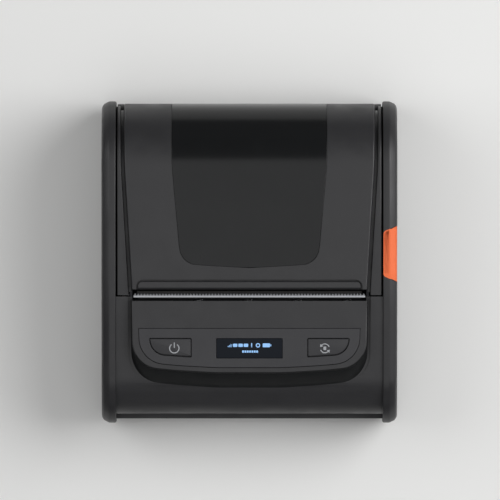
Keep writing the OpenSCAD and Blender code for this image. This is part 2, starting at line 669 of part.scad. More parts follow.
// Spur gear outline with slightly thin teeth; phase turns it
module gear_2d(teeth, phase, m = gear_m) {
    r = m * teeth / 2;
    pitch = 360 / teeth;
    tooth = [[-0.32, -1.2], [-0.2, 0], [-0.1, 0.85], [0.1, 0.85], [0.2, 0], [0.32, -1.2]];
    polygon([for (i = [0:teeth - 1], s = tooth)
        (r + s[1] * m) * [cos((i + s[0]) * pitch + phase), sin((i + s[0]) * pitch + phase)]]);
}
module gear(teeth, at, phase, bore) along_x(gear_w, gear_x - gear_w) difference() {
    translate(at) gear_2d(teeth, phase);
    translate(at) circle(d = bore);
}
// Phases put a tooth of one gear into a gap of the next along the line between them
idler_phase = idler_dir + 180;
platen_phase = idler_dir + 180 / platen_teeth;
motor_turn = (motor_dir - idler_phase) * idler_teeth / 360;   // in teeth of the idler
motor_phase = motor_dir + 180 + 180 / motor_teeth + (motor_turn - round(motor_turn)) * 360 / motor_teeth;
module platen_gear() color([0.9, 0.89, 0.85]) gear(platen_teeth, [platen_y, platen_h], platen_phase, shaft_d);
module idler_gear() color([0.88, 0.87, 0.83]) gear(idler_teeth, idler_at, idler_phase, 3 + 2 * run);
module motor_gear() color("goldenrod") gear(motor_teeth, motor_at, motor_phase, 2 + 2 * run);
module idler_pin() color("silver") rod(1.5, gear_x - gear_w - 0.2, gear_w + 0.2 - gear_x - plate_x, idler_at);

module stepper_motor() color([0.7, 0.71, 0.73]) {
    rod(motor_d / 2, -plate_x + 0.01, motor_l, motor_at);
    rod(1, gear_x - gear_w, 5.5, motor_at);
}

module hinge_pin() color("silver") rod(pin_d / 2, -pin_half, 2 * pin_half, [hinge_y, hinge_h]);
module hinge_springs() color([0.5, 0.5, 0.52]) both() difference() {
    rod(pin_d / 2 + 2.4, knuckle_x - 10.6, 10, [hinge_y, hinge_h]);
    rod(pin_d / 2 + 0.6, knuckle_x - 12, 14, [hinge_y, hinge_h]);
}

// Side outline of the paper bay: round below, open above
module bay_2d(grow) {
    translate([bay_y, bay_h]) circle(r = bay_r + grow);
    translate([bay_y - bay_r - grow, bay_h]) square([2 * (bay_r + grow), 40]);
}
module bay_liner() color([0.13, 0.135, 0.14]) difference() {
    union() {
        along_x(2 * (bay_hw + bay_wall)) difference() { bay_reach() bay_2d(bay_wall); bay_2d(0); }
        both() along_x(bay_wall, bay_hw) bay_reach() bay_2d(bay_wall);
    }
    // Slots that the paper guides' necks slide in
    both() block([guide_in_x - 2, bay_y - 3 - free, 0], [bay_hw - 0.6, bay_y + 3 + free, bay_h - bay_r + 2]);
}
module bay_reach() intersection() {
    children();
    polygon([[tear_y, 0], [tear_y, skirt_front_h - 1.4], [hinge_y, hinge_h - 1.4], [hinge_y, 0]]);
}

guide_m = 0.8;                            // module of the rack and pinion
guide_teeth = 20;
guide_pinion_r = guide_m * guide_teeth / 2;
guide_in_x = media_min / 2;
rack_z = floor_h + 1.2;
rack_t = 2;
module rack_2d(x0, x1) {
    pitch = PI * guide_m;
    y0 = guide_pinion_r + 1.25 * guide_m;
    polygon(concat([[x1, y0], [x1, y0 + 2.6], [x0, y0 + 2.6], [x0, y0]],
        [for (i = [ceil(x0 / pitch) + 1:floor(x1 / pitch) - 1],
            t = [[-0.3, 0], [-0.2, -1.25], [-0.1, -2.05], [0.1, -2.05], [0.2, -1.25], [0.3, 0]])
            [(i + t[0]) * pitch, y0 + t[1] * guide_m]]));
}
// One paper guide, at its widest, with the rack that reaches past the pinion
module guide() {
    along_x(guide_t, guide_x) difference() {
        union() {
            translate([bay_y, bay_h]) circle(r = guide_r);
            translate([bay_y - 3, rack_z]) square([6, bay_h - rack_z]);
        }
        translate([bay_y, bay_h]) circle(r = 5);
    }
    block([guide_x, bay_y - 3, rack_z],
        [guide_x + guide_t, bay_y + guide_pinion_r + 1.25 * guide_m + 2.6, rack_z + rack_t]);
    translate([0, bay_y, rack_z]) linear_extrude(rack_t) rack_2d(-5.5, guide_x + guide_t - eps);
}
module right_guide() color([0.3, 0.31, 0.32]) guide();
module left_guide() color([0.3, 0.31, 0.32]) translate([0, 2 * bay_y, 0]) rotate([0, 0, 180]) guide();
module guide_pinion() color([0.85, 0.84, 0.8]) translate([0, bay_y, rack_z])
    linear_extrude(rack_t) difference() {
        gear_2d(guide_teeth, 90 - 180 / guide_teeth, guide_m);
        circle(r = 2 + run);
    }

module mech_frame() color([0.66, 0.67, 0.69]) difference() {
    union() {
        block([-plate_x - frame_t, frame_front, mech_z], [plate_x + frame_t, frame_back, mech_z + frame_t]);
        both() along_x(frame_t, plate_x) polygon([[frame_front, mech_z], [frame_back, mech_z],
            [frame_back, platen_h - 3], [platen_y + 4.4, platen_h + 0.6], [platen_y - 5, platen_h + 3.4],
            [frame_front, platen_h + 3.4]]);
        // Ear that carries the motor
        along_x(frame_t, -plate_x - frame_t) polygon([
            [frame_front + eps, motor_at[1] - motor_d / 2], [frame_front + eps, motor_at[1] + motor_d / 2],
            motor_at + [1 - motor_d / 2, motor_d / 2], motor_at + [-1 - motor_d / 2, 0],
            motor_at + [1 - motor_d / 2, -motor_d / 2]]);
        // Upright that the head's springs press on
        block([upright_x, frame_front - 3, mech_z], [plate_x + frame_t, frame_front - 3 + frame_t, platen_h]);
        block([upright_x, frame_front - 3, mech_z], [plate_x + frame_t, frame_front + 1, mech_z + frame_t]);
    }
    // Slots that take the platen's bushes as the lid comes down
    along_x(140) hull() {
        translate([platen_y, platen_h]) circle(r = bush_d / 2 + 0.3);
        translate([platen_y + 4.5, platen_h + 12]) circle(r = bush_d / 2 + 0.5);
    }
    block([cable_x - 1, frame_front - 1, mech_z - 1], [cable_x + cable_w + 1, frame_front - 0.2, mech_z + 3]);
    rod(latch_d / 2 + run, -80, 160, latch_at);
    rod(1.5, -80, 40, idler_at);
    rod(2.4, -80, 40, motor_at);
    mech_screws_at() cylinder(d = screw_d + 0.3, h = 5, center = true);
}
module print_head() color([0.16, 0.15, 0.14]) block([-media_w / 2 + 0.5, head_y - 0.8, platen_h - 7],
    [media_w / 2 - 0.5, head_y, platen_h + 5]);
module heat_sink() color([0.75, 0.76, 0.78]) difference() {
    block([-media_w / 2 + 1, head_y - 3.8, mech_z + frame_t + 3],
        [media_w / 2 - 1, head_y - 0.8 - eps, sink_top]);
    for (i = [-5:5]) block([i * fin_pitch - fin_pitch / 3, head_y - 5, mech_z + frame_t + 5],
        [i * fin_pitch + fin_pitch / 3, head_y - 2.6, platen_h - 9]);
}
fin_pitch = (media_w - 12) / 11;
sink_top = platen_h + 6;
module head_springs() color("silver") for (i = [0:3])
    translate([upright_x + 9 + i * (plate_x - 18.4 - upright_x) / 3, head_y - 3.8, platen_h - 4])
        rotate([90, 0, 0]) difference() {
            cylinder(r = 2.2, h = 5.2 - frame_t);
            translate([0, 0, -1]) cylinder(r = 1.5, h = 9);
        }

module tear_bar() color([0.75, 0.76, 0.78]) {
    // Serrated blade, with its foot on the head's heat sink
    n = floor(tear_w / tooth_pitch);
    translate([0, tear_y, deck_back_h - 0.7]) linear_extrude(0.8) polygon(concat(
        [[tear_w / 2, -1.2], [-tear_w / 2, -1.2]],
        [for (i = [0:n - 1], t = [[0, 0.35], [0.5, 1.2]]) [-tear_w / 2 + (i + t[0]) * tear_w / n, t[1]]],
        [[tear_w / 2, 0.35]]));
    block([-media_w / 2 + 1, tear_y - 1.2, sink_top + eps],
        [media_w / 2 - 1, tear_y - 0.3, deck_back_h - 0.2]);
}

module main_board() color([0.08, 0.3, 0.18]) difference() {
    block([-case_hw + 5.5, battery_y + 2, board_z], [case_hw - 5.5, board_post[1] + 2.4, board_z + board_t]);
    board_screws_at() cylinder(d = screw_d - 0.3, h = 5, center = true);
    both() translate([mech_post[0], mech_post[1], board_z - 1]) cylinder(d = 7, h = 5);
}
board_top = board_z + board_t;
module usb_socket() color([0.78, 0.79, 0.8]) difference() {
    block([-case_hw + 0.6, port_y - 10.5, board_top], [-case_hw + 8.4, port_y - 1.5, board_top + 3.2]);
    block([-case_hw - 1, port_y - 10, board_top + 0.4], [-case_hw + 6.5, port_y - 2, board_top + 2.8]);
}
module power_socket() color([0.06, 0.06, 0.06]) difference() {
    block([-case_hw + 0.6, port_y + 1.8, board_top], [-case_hw + 10, port_y + 10.8, board_top + 5.6]);
    rod(2.2, -case_hw - 1, 9, [port_y + 6.3, board_top + 2.8]);
}
module wireless_module() color([0.8, 0.81, 0.82]) block([case_hw - 43.5, battery_y + 8, board_top],
    [case_hw - 25.5, battery_y + 22, board_top + 2.2]);
module buzzer() color([0.07, 0.07, 0.07]) translate([case_hw - 16, battery_y + 12, board_top]) difference() {
    cylinder(d = 12, h = 5.4);
    translate([0, 0, 4]) cylinder(d = 2, h = 3);
}
module paper_sensor() color([0.1, 0.1, 0.11]) block([-9, bay_front - 4, bay_front_h - 5],
    [9, bay_front, bay_front_h + 1]);
module cover_switch() color([0.12, 0.12, 0.13]) {
    block([case_hw - 21.5, bay_front - 3.6, bay_front_h - 7], [case_hw - 12.5, bay_front, bay_front_h - 1]);
    block([case_hw - 19.5, bay_front - 2.6, bay_front_h - 1 - eps],
        [case_hw - 16.5, bay_front - 1, bay_front_h + 1]);
}
bay_front_h = skirt_front_h - 5.6;        // top of the bay liner's front wall, about
cable_x = 2;
cable_w = 32;
module head_cable() color([0.9, 0.9, 0.92]) {
    block([cable_x, frame_front - 0.7, board_top], [cable_x + cable_w, frame_front - 0.4, platen_h - 8]);
    block([cable_x, frame_front - 0.7, platen_h - 8.3], [cable_x + cable_w, head_y - 3.8, platen_h - 8]);
}
module panel_cable() color([0.9, 0.9, 0.92]) block([-20, panel_cable_y, board_top],
    [-8, panel_cable_y + 0.3, deck_back_h + (panel_cable_y - tear_y) * tan(deck_tilt) - 6.2]);
panel_cable_y = tear_y - panel_back - 9;

module battery_pack() color([0.1, 0.105, 0.11]) difference() {
    block([-half_w + 0.3, battery_y, battery_z],
        [-half_w + battery_w, battery_y + battery_l, battery_z + battery_h]);
    // Finger grip in the outer end
    block([-half_w - 1, battery_y + battery_l / 2 - 9, battery_z + battery_h - 7],
        [-half_w + 3.4, battery_y + battery_l / 2 + 9, battery_z + battery_h - 2.4]);
}
module battery_contacts() color("gold") contacts(0);
module contacts(grow) for (i = [-1.5:1.5])
    translate([battery_end - fit + 0.05, battery_y + battery_l / 2 + i * 5, battery_z + battery_h / 3])
        translate([0, -0.8 - grow, -0.5 - grow]) cube([5.4, 1.6 + 2 * grow, 1 + 2 * grow]);
module port_cover() color([0.07, 0.07, 0.075]) difference() {
    union() {
        block([-half_w + 0.1, port_y - port_w / 2, port_hinge[1]],
            [-half_w + 0.1 + cover_t, port_y + port_w / 2, port_z + port_h / 2]);
        // Round lower edge that it turns about
        translate([port_hinge[0], port_y + port_w / 2, port_hinge[1]]) rotate([90, 0, 0])
            cylinder(d = cover_t, h = port_w);
    }
    block([-half_w - 1, port_y + port_w / 2 - 4, port_z - 2.5],
        [-half_w + 0.8, port_y + port_w / 2 - 1.4, port_z + 2.5]);
}
cover_t = 1.7;
port_hinge = [-half_w + 0.1 + cover_t / 2, port_z - port_h / 2 + cover_t / 2];

module clip_inserts() color("goldenrod") clip_places() translate([0, 0, foot_h]) difference() {
    cylinder(d = insert_d - 0.02, h = 5.2);
    translate([0, 0, -1]) cylinder(d = clip_hole_d, h = 9);
}
module rubber_feet() color([0.05, 0.05, 0.05]) feet_at() cylinder(d = foot_d - 0.1, h = foot_h + 0.6);
module case_screws() color([0.3, 0.3, 0.31]) both() translate([deck_post[0], deck_post[1], foot_h + 2.6])
    screw(screw_d, split_h - foot_h + 3);
module mech_screws() color([0.7, 0.7, 0.72]) mech_screws_at() translate([0, 0, frame_t])
    rotate([180, 0, 0]) screw(screw_d, 7);
module board_screws() color([0.7, 0.7, 0.72]) board_screws_at() rotate([180, 0, 0]) screw(screw_d - 0.6, 5);
module cheek_screws() color([0.3, 0.3, 0.31]) cheek_screws_at() screw(screw_d, 5.6);

lower_case();
deck_case();
left_cheek();
right_cheek();
lid_shell();
lid_window();
lid_nose();
platen_bracket();
platen_roller();
platen_shaft();
platen_bushes();
platen_gear();
hinge_pin();
hinge_springs();
bay_liner();
left_guide();
right_guide();
guide_pinion();
mech_frame();
print_head();
heat_sink();
head_springs();
tear_bar();
stepper_motor();
motor_gear();
idler_gear();
idler_pin();
latch_bar();
release_button();
release_spring();
panel_insert();
power_key();
feed_key();
display_lens();
display_module();
key_board();
key_switches();
main_board();
wireless_module();
usb_socket();
power_socket();
buzzer();
paper_sensor();
cover_switch();
head_cable();
panel_cable();
battery_pack();
battery_contacts();
port_cover();
clip_inserts();
rubber_feet();
case_screws();
mech_screws();
board_screws();
cheek_screws();
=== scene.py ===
import bmesh, bpy, json, math
from mathutils import Matrix, Vector


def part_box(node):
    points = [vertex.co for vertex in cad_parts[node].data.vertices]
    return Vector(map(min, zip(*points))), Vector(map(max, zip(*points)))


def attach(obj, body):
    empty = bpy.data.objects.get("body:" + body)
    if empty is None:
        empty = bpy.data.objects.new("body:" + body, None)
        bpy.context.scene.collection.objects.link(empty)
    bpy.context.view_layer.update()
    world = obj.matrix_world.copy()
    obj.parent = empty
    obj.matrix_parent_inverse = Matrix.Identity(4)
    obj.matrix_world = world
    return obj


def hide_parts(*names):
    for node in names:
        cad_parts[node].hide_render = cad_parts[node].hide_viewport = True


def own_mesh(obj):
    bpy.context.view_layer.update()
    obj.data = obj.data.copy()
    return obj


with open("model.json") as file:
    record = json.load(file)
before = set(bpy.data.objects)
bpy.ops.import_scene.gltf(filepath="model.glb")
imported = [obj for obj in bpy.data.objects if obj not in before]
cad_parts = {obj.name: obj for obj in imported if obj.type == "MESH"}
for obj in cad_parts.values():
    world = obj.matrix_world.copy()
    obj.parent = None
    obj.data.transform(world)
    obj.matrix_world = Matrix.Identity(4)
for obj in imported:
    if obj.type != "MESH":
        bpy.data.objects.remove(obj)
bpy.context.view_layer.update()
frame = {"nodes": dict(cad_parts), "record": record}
print("frame loaded:", len(frame["nodes"]), "pieces")

# All lengths are metres, in the frame of the model: +X to the release side, -Y to the keys, +Z up.
# The photograph looks straight down, so the camera hangs high above and its top edge points to +Y.
cameraSettings = {
    "height": 8.0,              # far away, so that the picture is almost a plan
    "acrossPicture": 0.24495,   # width of the view at the height of the lid
    "lidHeight": 0.068,
    "middle": (0.0003, 0.0059),
}
lightSettings = {   # watts, and the world's strength on the object
    "world": 0.1, "overhead": 12.0, "key": 10.5, "left": 4.6, "right": 4.2, "back": 0.1,
    "floor": (0.86, 0.86, 0.85), "floorBounce": 0.18, "backdrop": 0.93,
}

scene = bpy.context.scene
scene.view_settings.view_transform = "Standard"


def srgb(r, g, b):   # 0-255 values as they look on a screen
    def lin(c):
        c /= 255
        return c / 12.92 if c <= 0.04045 else ((c + 0.055) / 1.055) ** 2.4
    return (lin(r), lin(g), lin(b), 1.0)


# ---- sizes of the casing, as in the model
casing = {
    "length": 0.158, "width": 0.145, "height": 0.072,
    "cheek": 0.007, "chamfer": 0.0034, "cheekProud": 0.002, "cheekRise": 0.0012,
    "wall": 0.0022, "foot": 0.002, "lip": 0.0025,
    "deck": 0.0626, "deckFall": 0.0075, "tearFall": 0.0025, "ledge": 0.018, "ledgeFall": 0.0145,
    "shoulderDrop": 0.0018, "shoulderStep": 0.003,
    "noseRound": 0.016, "toeRound": 0.008, "rearRound": 0.029, "heelRound": 0.010, "split": 0.028,
    "shoulder": 0.007, "shoulderRear": 0.0033, "lidGap": 0.0007,
}
halfL, halfW, high = casing["length"] / 2, casing["width"] / 2, casing["height"]
cheekIn = halfW - casing["cheek"]
lidHalf = cheekIn - casing["lidGap"]
caseFront = halfL - casing["cheekProud"]
tongueBack = halfL - casing["cheekProud"] * 0.6
caseBack = tongueBack - 0.0012
tearY = -halfL + casing["deck"]
ledgeY = -halfL + casing["ledge"]
crestY = tearY + 0.042
deckBackH = high - casing["tearFall"]
ledgeH = high - casing["ledgeFall"]
caseTop = high - casing["shoulderDrop"]
shoulderH = deckBackH - casing["shoulderStep"]
deckTilt = math.atan((casing["deckFall"] - casing["tearFall"]) / (casing["deck"] - casing["ledge"] - 0.004))
deckLen = casing["deck"] - casing["ledge"] - 0.0058
tongueHalf = cheekIn - casing["shoulder"]
tongueRearHalf = cheekIn - casing["shoulderRear"]
bendY = tongueBack - casing["rearRound"] - 0.0008
noseFront = tearY + 0.003
lidFront = tearY + 0.0002
hinge = Vector((0, tongueBack - 0.0065, 0.026))


def rounded(points, parts=10):   # [x, y, radius] corners, each turned into the same number of points
    out = []
    for i, (x, y, r) in enumerate(points):
        a, b, c = Vector(points[i - 1][:2]), Vector((x, y)), Vector(points[(i + 1) % len(points)][:2])
        if r < 1e-6:
            out.append(b)
            continue
        u, w = (a - b).normalized(), (c - b).normalized()
        half = math.acos(max(-1, min(1, u.dot(w)))) / 2
        o = b + (u + w).normalized() * r / math.sin(half)
        s, e = b + u * r / math.tan(half), b + w * r / math.tan(half)
        a0, a1 = math.atan2(s.y - o.y, s.x - o.x), math.atan2(e.y - o.y, e.x - o.x)
        sweep = (a1 - a0 + math.pi) % (2 * math.pi) - math.pi
        out += [o + r * Vector((math.cos(a0 + sweep * k / parts), math.sin(a0 + sweep * k / parts)))
                for k in range(parts + 1)]
    return out


def sidePoints(front, back, top):   # side outline of the casing, grown at the front, back and top
    return [(-caseFront - front, casing["foot"], casing["toeRound"]),
            (-caseFront - front, ledgeH - 0.009 + top, casing["noseRound"] + front),
            (ledgeY, ledgeH + top, 0.025), (tearY, shoulderH + top, 0.2), (crestY, caseTop + top, 0.15),
            (caseBack + back, caseTop + top, casing["rearRound"] - 0.0012 + back),
            (caseBack + back, casing["foot"], casing["heelRound"])]


caseOutline = rounded(sidePoints(0, 0, 0), 14)
tongueOutline = rounded([(tearY - 0.012, 0.022, 0), (tearY - 0.012, deckBackH - 0.012 * math.tan(deckTilt), 0),
                         (tearY, deckBackH, 0.15), (crestY, high, 0.15),
                         (tongueBack, high, casing["rearRound"]), (tongueBack, 0.022, 0)], 18)


def mirrored(right):
    return right + [(-x, y, r) for x, y, r in reversed(right)]


def deckPlan(half, back, front, bow, r):
    return mirrored([(half + 0.0004, back, 0), (half, front + bow, r), (half * 0.64, front + bow * 0.38, 0.12),
                     (half * 0.3, front + bow * 0.03, 0.12)])


def inset(loop, d):   # moves a closed loop inwards along its corners' normals
    out = []
    for i, p in enumerate(loop):
        a, b = (p - loop[i - 1]), (loop[(i + 1) % len(loop)] - p)
        if a.length < 1e-9 or b.length < 1e-9:
            a = b = loop[(i + 1) % len(loop)] - loop[i - 1]
        n = Vector((-a.y, a.x)).normalized() + Vector((-b.y, b.x)).normalized()
        n.normalize()
        cosHalf = max(0.35, n.dot(Vector((-a.y, a.x)).normalized()))
        out.append(p + n * d * turning(loop) / cosHalf)
    return out


def turning(loop):   # 1 for a loop that runs anticlockwise, -1 for a clockwise one
    area = sum(loop[i - 1].x * p.y - p.x * loop[i - 1].y for i, p in enumerate(loop))
    return 1 if area > 0 else -1


# ---- making meshes
def makeMesh(name, verts, faces, material=None, sharp=35, tidy=True):
    mesh = bpy.data.meshes.new(name)
    mesh.from_pydata([tuple(v) for v in verts], [], faces)
    if tidy:
        bm = bmesh.new()
        bm.from_mesh(mesh)
        bmesh.ops.remove_doubles(bm, verts=bm.verts, dist=2e-7)
        bmesh.ops.dissolve_degenerate(bm, edges=bm.edges, dist=1e-7)
        bmesh.ops.recalc_face_normals(bm, faces=bm.faces)
        bm.to_mesh(mesh)
        bm.free()
    obj = bpy.data.objects.new(name, mesh)
    scene.collection.objects.link(obj)
    if material:
        mesh.materials.append(material)
    smooth(obj, sharp)
    return obj


def smooth(obj, sharp=35):
    obj.data.shade_smooth()
    obj.data.set_sharp_from_angle(angle=math.radians(sharp))


def loft(name, loops, material=None, sharp=35):   # closed loops of equal length, with flat ends
    n = len(loops[0])
    verts = [p for loop in loops for p in loop]
    faces = [(k * n + i, k * n + (i + 1) % n, (k + 1) * n + (i + 1) % n, (k + 1) * n + i)
             for k in range(len(loops) - 1) for i in range(n)]
    faces += [tuple(range(n)), tuple(range((len(loops) - 1) * n, len(loops) * n))]
    return makeMesh(name, verts, faces, material, sharp)


def applied(obj):   # the result of an object's modifiers as its plain mesh
    deps = bpy.context.evaluated_depsgraph_get()
    mesh = bpy.data.meshes.new_from_object(obj.evaluated_get(deps))
    obj.modifiers.clear()
    old, obj.data = obj.data, mesh
    bpy.data.meshes.remove(old)
    return obj


def carve(obj, cutters, operation="DIFFERENCE", sharp=35):
    for cutter in cutters:
        mod = obj.modifiers.new("carve", "BOOLEAN")
        mod.operation, mod.object, mod.solver = operation, cutter, "EXACT"
    applied(obj)
    for cutter in cutters:
        bpy.data.objects.remove(cutter)
    smooth(obj, sharp)
    return obj


def evenShading(obj):   # normals that follow the large faces, so that flats stay flat beside rounded edges
    obj.modifiers.new("even shading", "WEIGHTED_NORMAL").keep_sharp = True
    return obj


def softenEdges(obj, width, segments=2, angle=40):   # a live bevel on the sharp edges
    mod = obj.modifiers.new("soft edges", "BEVEL")
    mod.width, mod.segments, mod.limit_method = width, segments, "ANGLE"
    mod.angle_limit, mod.harden_normals, mod.use_clamp_overlap = math.radians(angle), False, True
    return evenShading(obj)


def block(name, low, high, material=None, edge=0.0):   # a box with rounded edges
    x0, y0, z0 = low
    x1, y1, z1 = high
    verts = [(x, y, z) for z in (z0, z1) for y in (y0, y1) for x in (x0, x1)]
    faces = [(0, 2, 3, 1), (4, 5, 7, 6), (0, 1, 5, 4), (2, 6, 7, 3), (0, 4, 6, 2), (1, 3, 7, 5)]
    obj = makeMesh(name, verts, faces, material)
    if edge:
        softenEdges(obj, edge, 3)
        applied(obj)
        smooth(obj)
    return obj


def prismX(name, outline, x0, x1, material=None):   # a YZ outline stretched along X
    return loft(name, [[Vector((x, p.x, p.y)) for p in outline] for x in (x0, x1)], material)


def level(outline, z, place=Matrix()):   # a flat outline lifted to z
    return [place @ Vector((p.x, p.y, z)) for p in outline]


def prismZ(name, outline, z0, z1, material=None, place=Matrix()):
    return loft(name, [level(outline, z, place) for z in (z0, z1)], material)


def rodX(name, r, x0, x1, y, z, material=None, parts=48):
    ring = [Vector((y + r * math.cos(a), z + r * math.sin(a)))
            for a in (2 * math.pi * i / parts for i in range(parts))]
    return prismX(name, ring, x0, x1, material)


onDeck = Matrix.Translation((0, tearY, deckBackH)) @ Matrix.Rotation(deckTilt, 4, "X")   # x across, y back, z out


def carried(name):   # low and high corner of a CAD node's box
    low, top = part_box(name)
    return Vector(low), Vector(top)


# ---- materials: each is a node tree on Object coordinates
def newMaterial(name):
    mat = bpy.data.materials.new(name)
    mat.use_nodes = True
    tree = mat.node_tree
    shader = next(n for n in tree.nodes if n.type == "BSDF_PRINCIPLED")
    coords = tree.nodes.new("ShaderNodeTexCoord").outputs["Object"]
    return mat, tree, shader, coords


def add(tree, kind, given={}, **settings):   # a new node, given as its first output
    node = tree.nodes.new(kind)
    for key, value in settings.items():
        setattr(node, key, value)
    give(tree, node, given)
    return node.outputs[0] if node.outputs else None


def give(tree, node, given):   # links or sets the inputs of a node; a list goes into one input
    for key, value in given.items():
        for one in value if isinstance(value, list) else [value]:
            if isinstance(one, bpy.types.NodeSocket):
                tree.links.new(one, node.inputs[key])
            else:
                node.inputs[key].default_value = one


def noise(tree, coords, scale, detail=2.0, roughness=0.5, stretch=None):
    if stretch:
        coords = add(tree, "ShaderNodeMapping", {"Vector": coords, "Scale": stretch})
    return add(tree, "ShaderNodeTexNoise",
               {"Vector": coords, "Scale": scale, "Detail": detail, "Roughness": roughness})


def blendColours(tree, factor, low, high):
    mix = tree.nodes.new("ShaderNodeMix")
    mix.data_type = "RGBA"
    a, b = (next(i for i, s in enumerate(mix.inputs) if s.name == name and s.type == "RGBA") for name in "AB")
    give(tree, mix, {"Factor": factor, a: low, b: high})
    return next(s for s in mix.outputs if s.type == "RGBA")


def ramp(tree, factor, low, high, a=0.0, b=1.0):   # stretches part of a factor to the range a to b
    return add(tree, "ShaderNodeMapRange",
               {"Value": factor, "From Min": low, "From Max": high, "To Min": a, "To Max": b})


def bump(tree, shader, height, strength, depth):
    normal = add(tree, "ShaderNodeBump", {"Height": height, "Strength": strength, "Distance": depth})
    tree.links.new(normal, shader.inputs["Normal"])


def shade(colour, k):
    return tuple(min(1.0, c * k) for c in colour[:3]) + (1.0,)


def moulded(name, colour, roughness=0.5, grain=2600, relief=0.00005, spread=0.05, coat=0.0, gloss=0.45):
    mat, tree, shader, coords = newMaterial(name)
    broad = noise(tree, coords, 38, 3)             # slow drift of the moulding
    fine = noise(tree, coords, grain, 2.5, 0.65)   # spark-eroded grain
    body = blendColours(tree, broad, shade(colour, 1 - spread), shade(colour, 1 + spread))
    give(tree, shader, {
        "Base Color": blendColours(tree, ramp(tree, fine, 0.42, 0.62), shade(colour, 0.84), body),
        "Roughness": ramp(tree, noise(tree, coords, 90, 3), 0.3, 0.7, roughness - 0.06, roughness + 0.08),
        "Specular IOR Level": gloss})
    if coat:
        give(tree, shader, {"Coat Weight": coat, "Coat Roughness": 0.12})
    bump(tree, shader, fine, 0.55, relief)
    return mat


def glossy(name, colour, roughness=0.08, scratch=0.35, gloss=0.4):
    mat, tree, shader, coords = newMaterial(name)
    haze = noise(tree, coords, 60, 4)
    marks = noise(tree, coords, 420, 2, 0.5, (1, 0.06, 1))   # faint wiping marks
    give(tree, shader, {
        "Base Color": blendColours(tree, haze, shade(colour, 0.85), shade(colour, 1.2)),
        "Roughness": ramp(tree, marks, 0.55, 0.8, roughness, roughness + 0.12 * scratch),
        "Specular IOR Level": gloss})
    bump(tree, shader, haze, 0.08, 0.00004)
    return mat


def metal(name, colour, roughness=0.32, brushed=(1, 40, 40)):
    mat, tree, shader, coords = newMaterial(name)
    grain = noise(tree, coords, 160, 4, 0.7, brushed)
    give(tree, shader, {
        "Base Color": blendColours(tree, grain, shade(colour, 0.82), shade(colour, 1.12)),
        "Roughness": ramp(tree, grain, 0.3, 0.7, roughness - 0.08, roughness + 0.1), "Metallic": 1.0})
    bump(tree, shader, grain, 0.18, 0.00003)
    return mat


def rubber(name, colour):
    mat, tree, shader, coords = newMaterial(name)
    dust = noise(tree, coords, 220, 5, 0.7)
    give(tree, shader, {
        "Base Color": blendColours(tree, ramp(tree, dust, 0.45, 0.75), colour, shade(colour, 1.6)),
        "Roughness": ramp(tree, dust, 0.3, 0.7, 0.72, 0.86)})
    bump(tree, shader, noise(tree, coords, 1800, 2), 0.4, 0.00004)
    return mat


def boardFinish(name, colour):   # solder mask with traces that show through it
    mat, tree, shader, coords = newMaterial(name)
    traces = add(tree, "ShaderNodeTexBrick", {
        "Vector": coords, "Scale": 160, "Mortar Size": 0.06, "Color1": shade(colour, 1.0),
        "Color2": shade(colour, 0.8), "Mortar": shade(colour, 1.9)})
    give(tree, shader, {
        "Base Color": traces, "Roughness": ramp(tree, noise(tree, coords, 300, 2), 0.3, 0.7, 0.22, 0.34)})
    bump(tree, shader, traces.node.outputs["Fac"], 0.2, 0.00003)
    return mat


finishes = {
    "caseGrey": moulded("case grey", srgb(46, 46, 48), 0.46),
    "lidGrey": moulded("lid grey", srgb(43, 43, 45), 0.42),
    "cheekGrey": moulded("cheek grey", srgb(41, 41, 43), 0.42, grain=2200),
    "panelGrey": moulded("panel grey", srgb(52, 52, 55), 0.46, grain=3200, relief=0.00003),
    "keyGrey": moulded("key grey", srgb(47, 47, 50), 0.42, grain=3400, relief=0.00002),
    "orange": moulded("release orange", srgb(255, 122, 72), 0.42, 2800, 0.00003, 0.03, gloss=0.24),
    "smoke": glossy("smoked window", srgb(20, 21, 22), 0.2, gloss=0.3),
    "lens": glossy("display lens", srgb(9, 15, 24), 0.2, 0.1, gloss=0.14),
    "rubber": rubber("black rubber", srgb(30, 30, 31)),
    "steel": metal("brushed steel", srgb(196, 198, 202)),
    "tearSteel": metal("tear bar steel", srgb(172, 174, 178), 0.4),
    # painted shade: a darker grey for the wall and sides round the raised deck, standing for the shade they lie in
    "wallPaintedShade": moulded("deck wall painted shade", srgb(26, 27, 28), 0.5, gloss=0.2),
    "darkScrew": metal("blackened screw", srgb(70, 70, 73), 0.4),
    "anodised": moulded("black anodising", srgb(26, 26, 28), 0.5, gloss=0.2),
    "zincBlack": metal("blackened sheet", srgb(58, 58, 61), 0.45),
    "aluminium": metal("aluminium", srgb(190, 193, 198), 0.4, (40, 1, 40)),
    "brass": metal("brass", srgb(205, 168, 98), 0.3, (30, 30, 1)),
    "white": moulded("white acetal", srgb(226, 223, 212), 0.38, spread=0.05),
    "guide": moulded("guide grey", srgb(86, 88, 92), 0.5),
    "ceramic": moulded("head glaze", srgb(30, 27, 26), 0.3, spread=0.04, gloss=0.3),
    "board": boardFinish("solder mask", srgb(22, 92, 58)),
    "blackPlastic": moulded("black plastic", srgb(34, 34, 36), 0.5),
    "film": moulded("cable film", srgb(232, 232, 236), 0.3, spread=0.05, coat=0.3),
}
slots = {   # the record's material slots and the finish of each
    "case_dark": "caseGrey", "case_grey": "caseGrey", "cheek_grey": "cheekGrey", "panel_grey": "panelGrey",
    "key_grey": "keyGrey", "smoked_window": "smoke", "display_black": "lens", "display_glass": "lens",
    "orange": "orange", "black_rubber": "rubber", "steel": "steel", "dark_screw": "darkScrew",
    "white_plastic": "white", "guide_grey": "guide", "aluminium": "aluminium", "head_dark": "ceramic",
    "brass": "brass", "board_green": "board", "black_plastic": "blackPlastic", "cable_white": "film",
}
slotOf = {row["node"]: row["material_slot"] for row in frame["record"]["subparts"]}
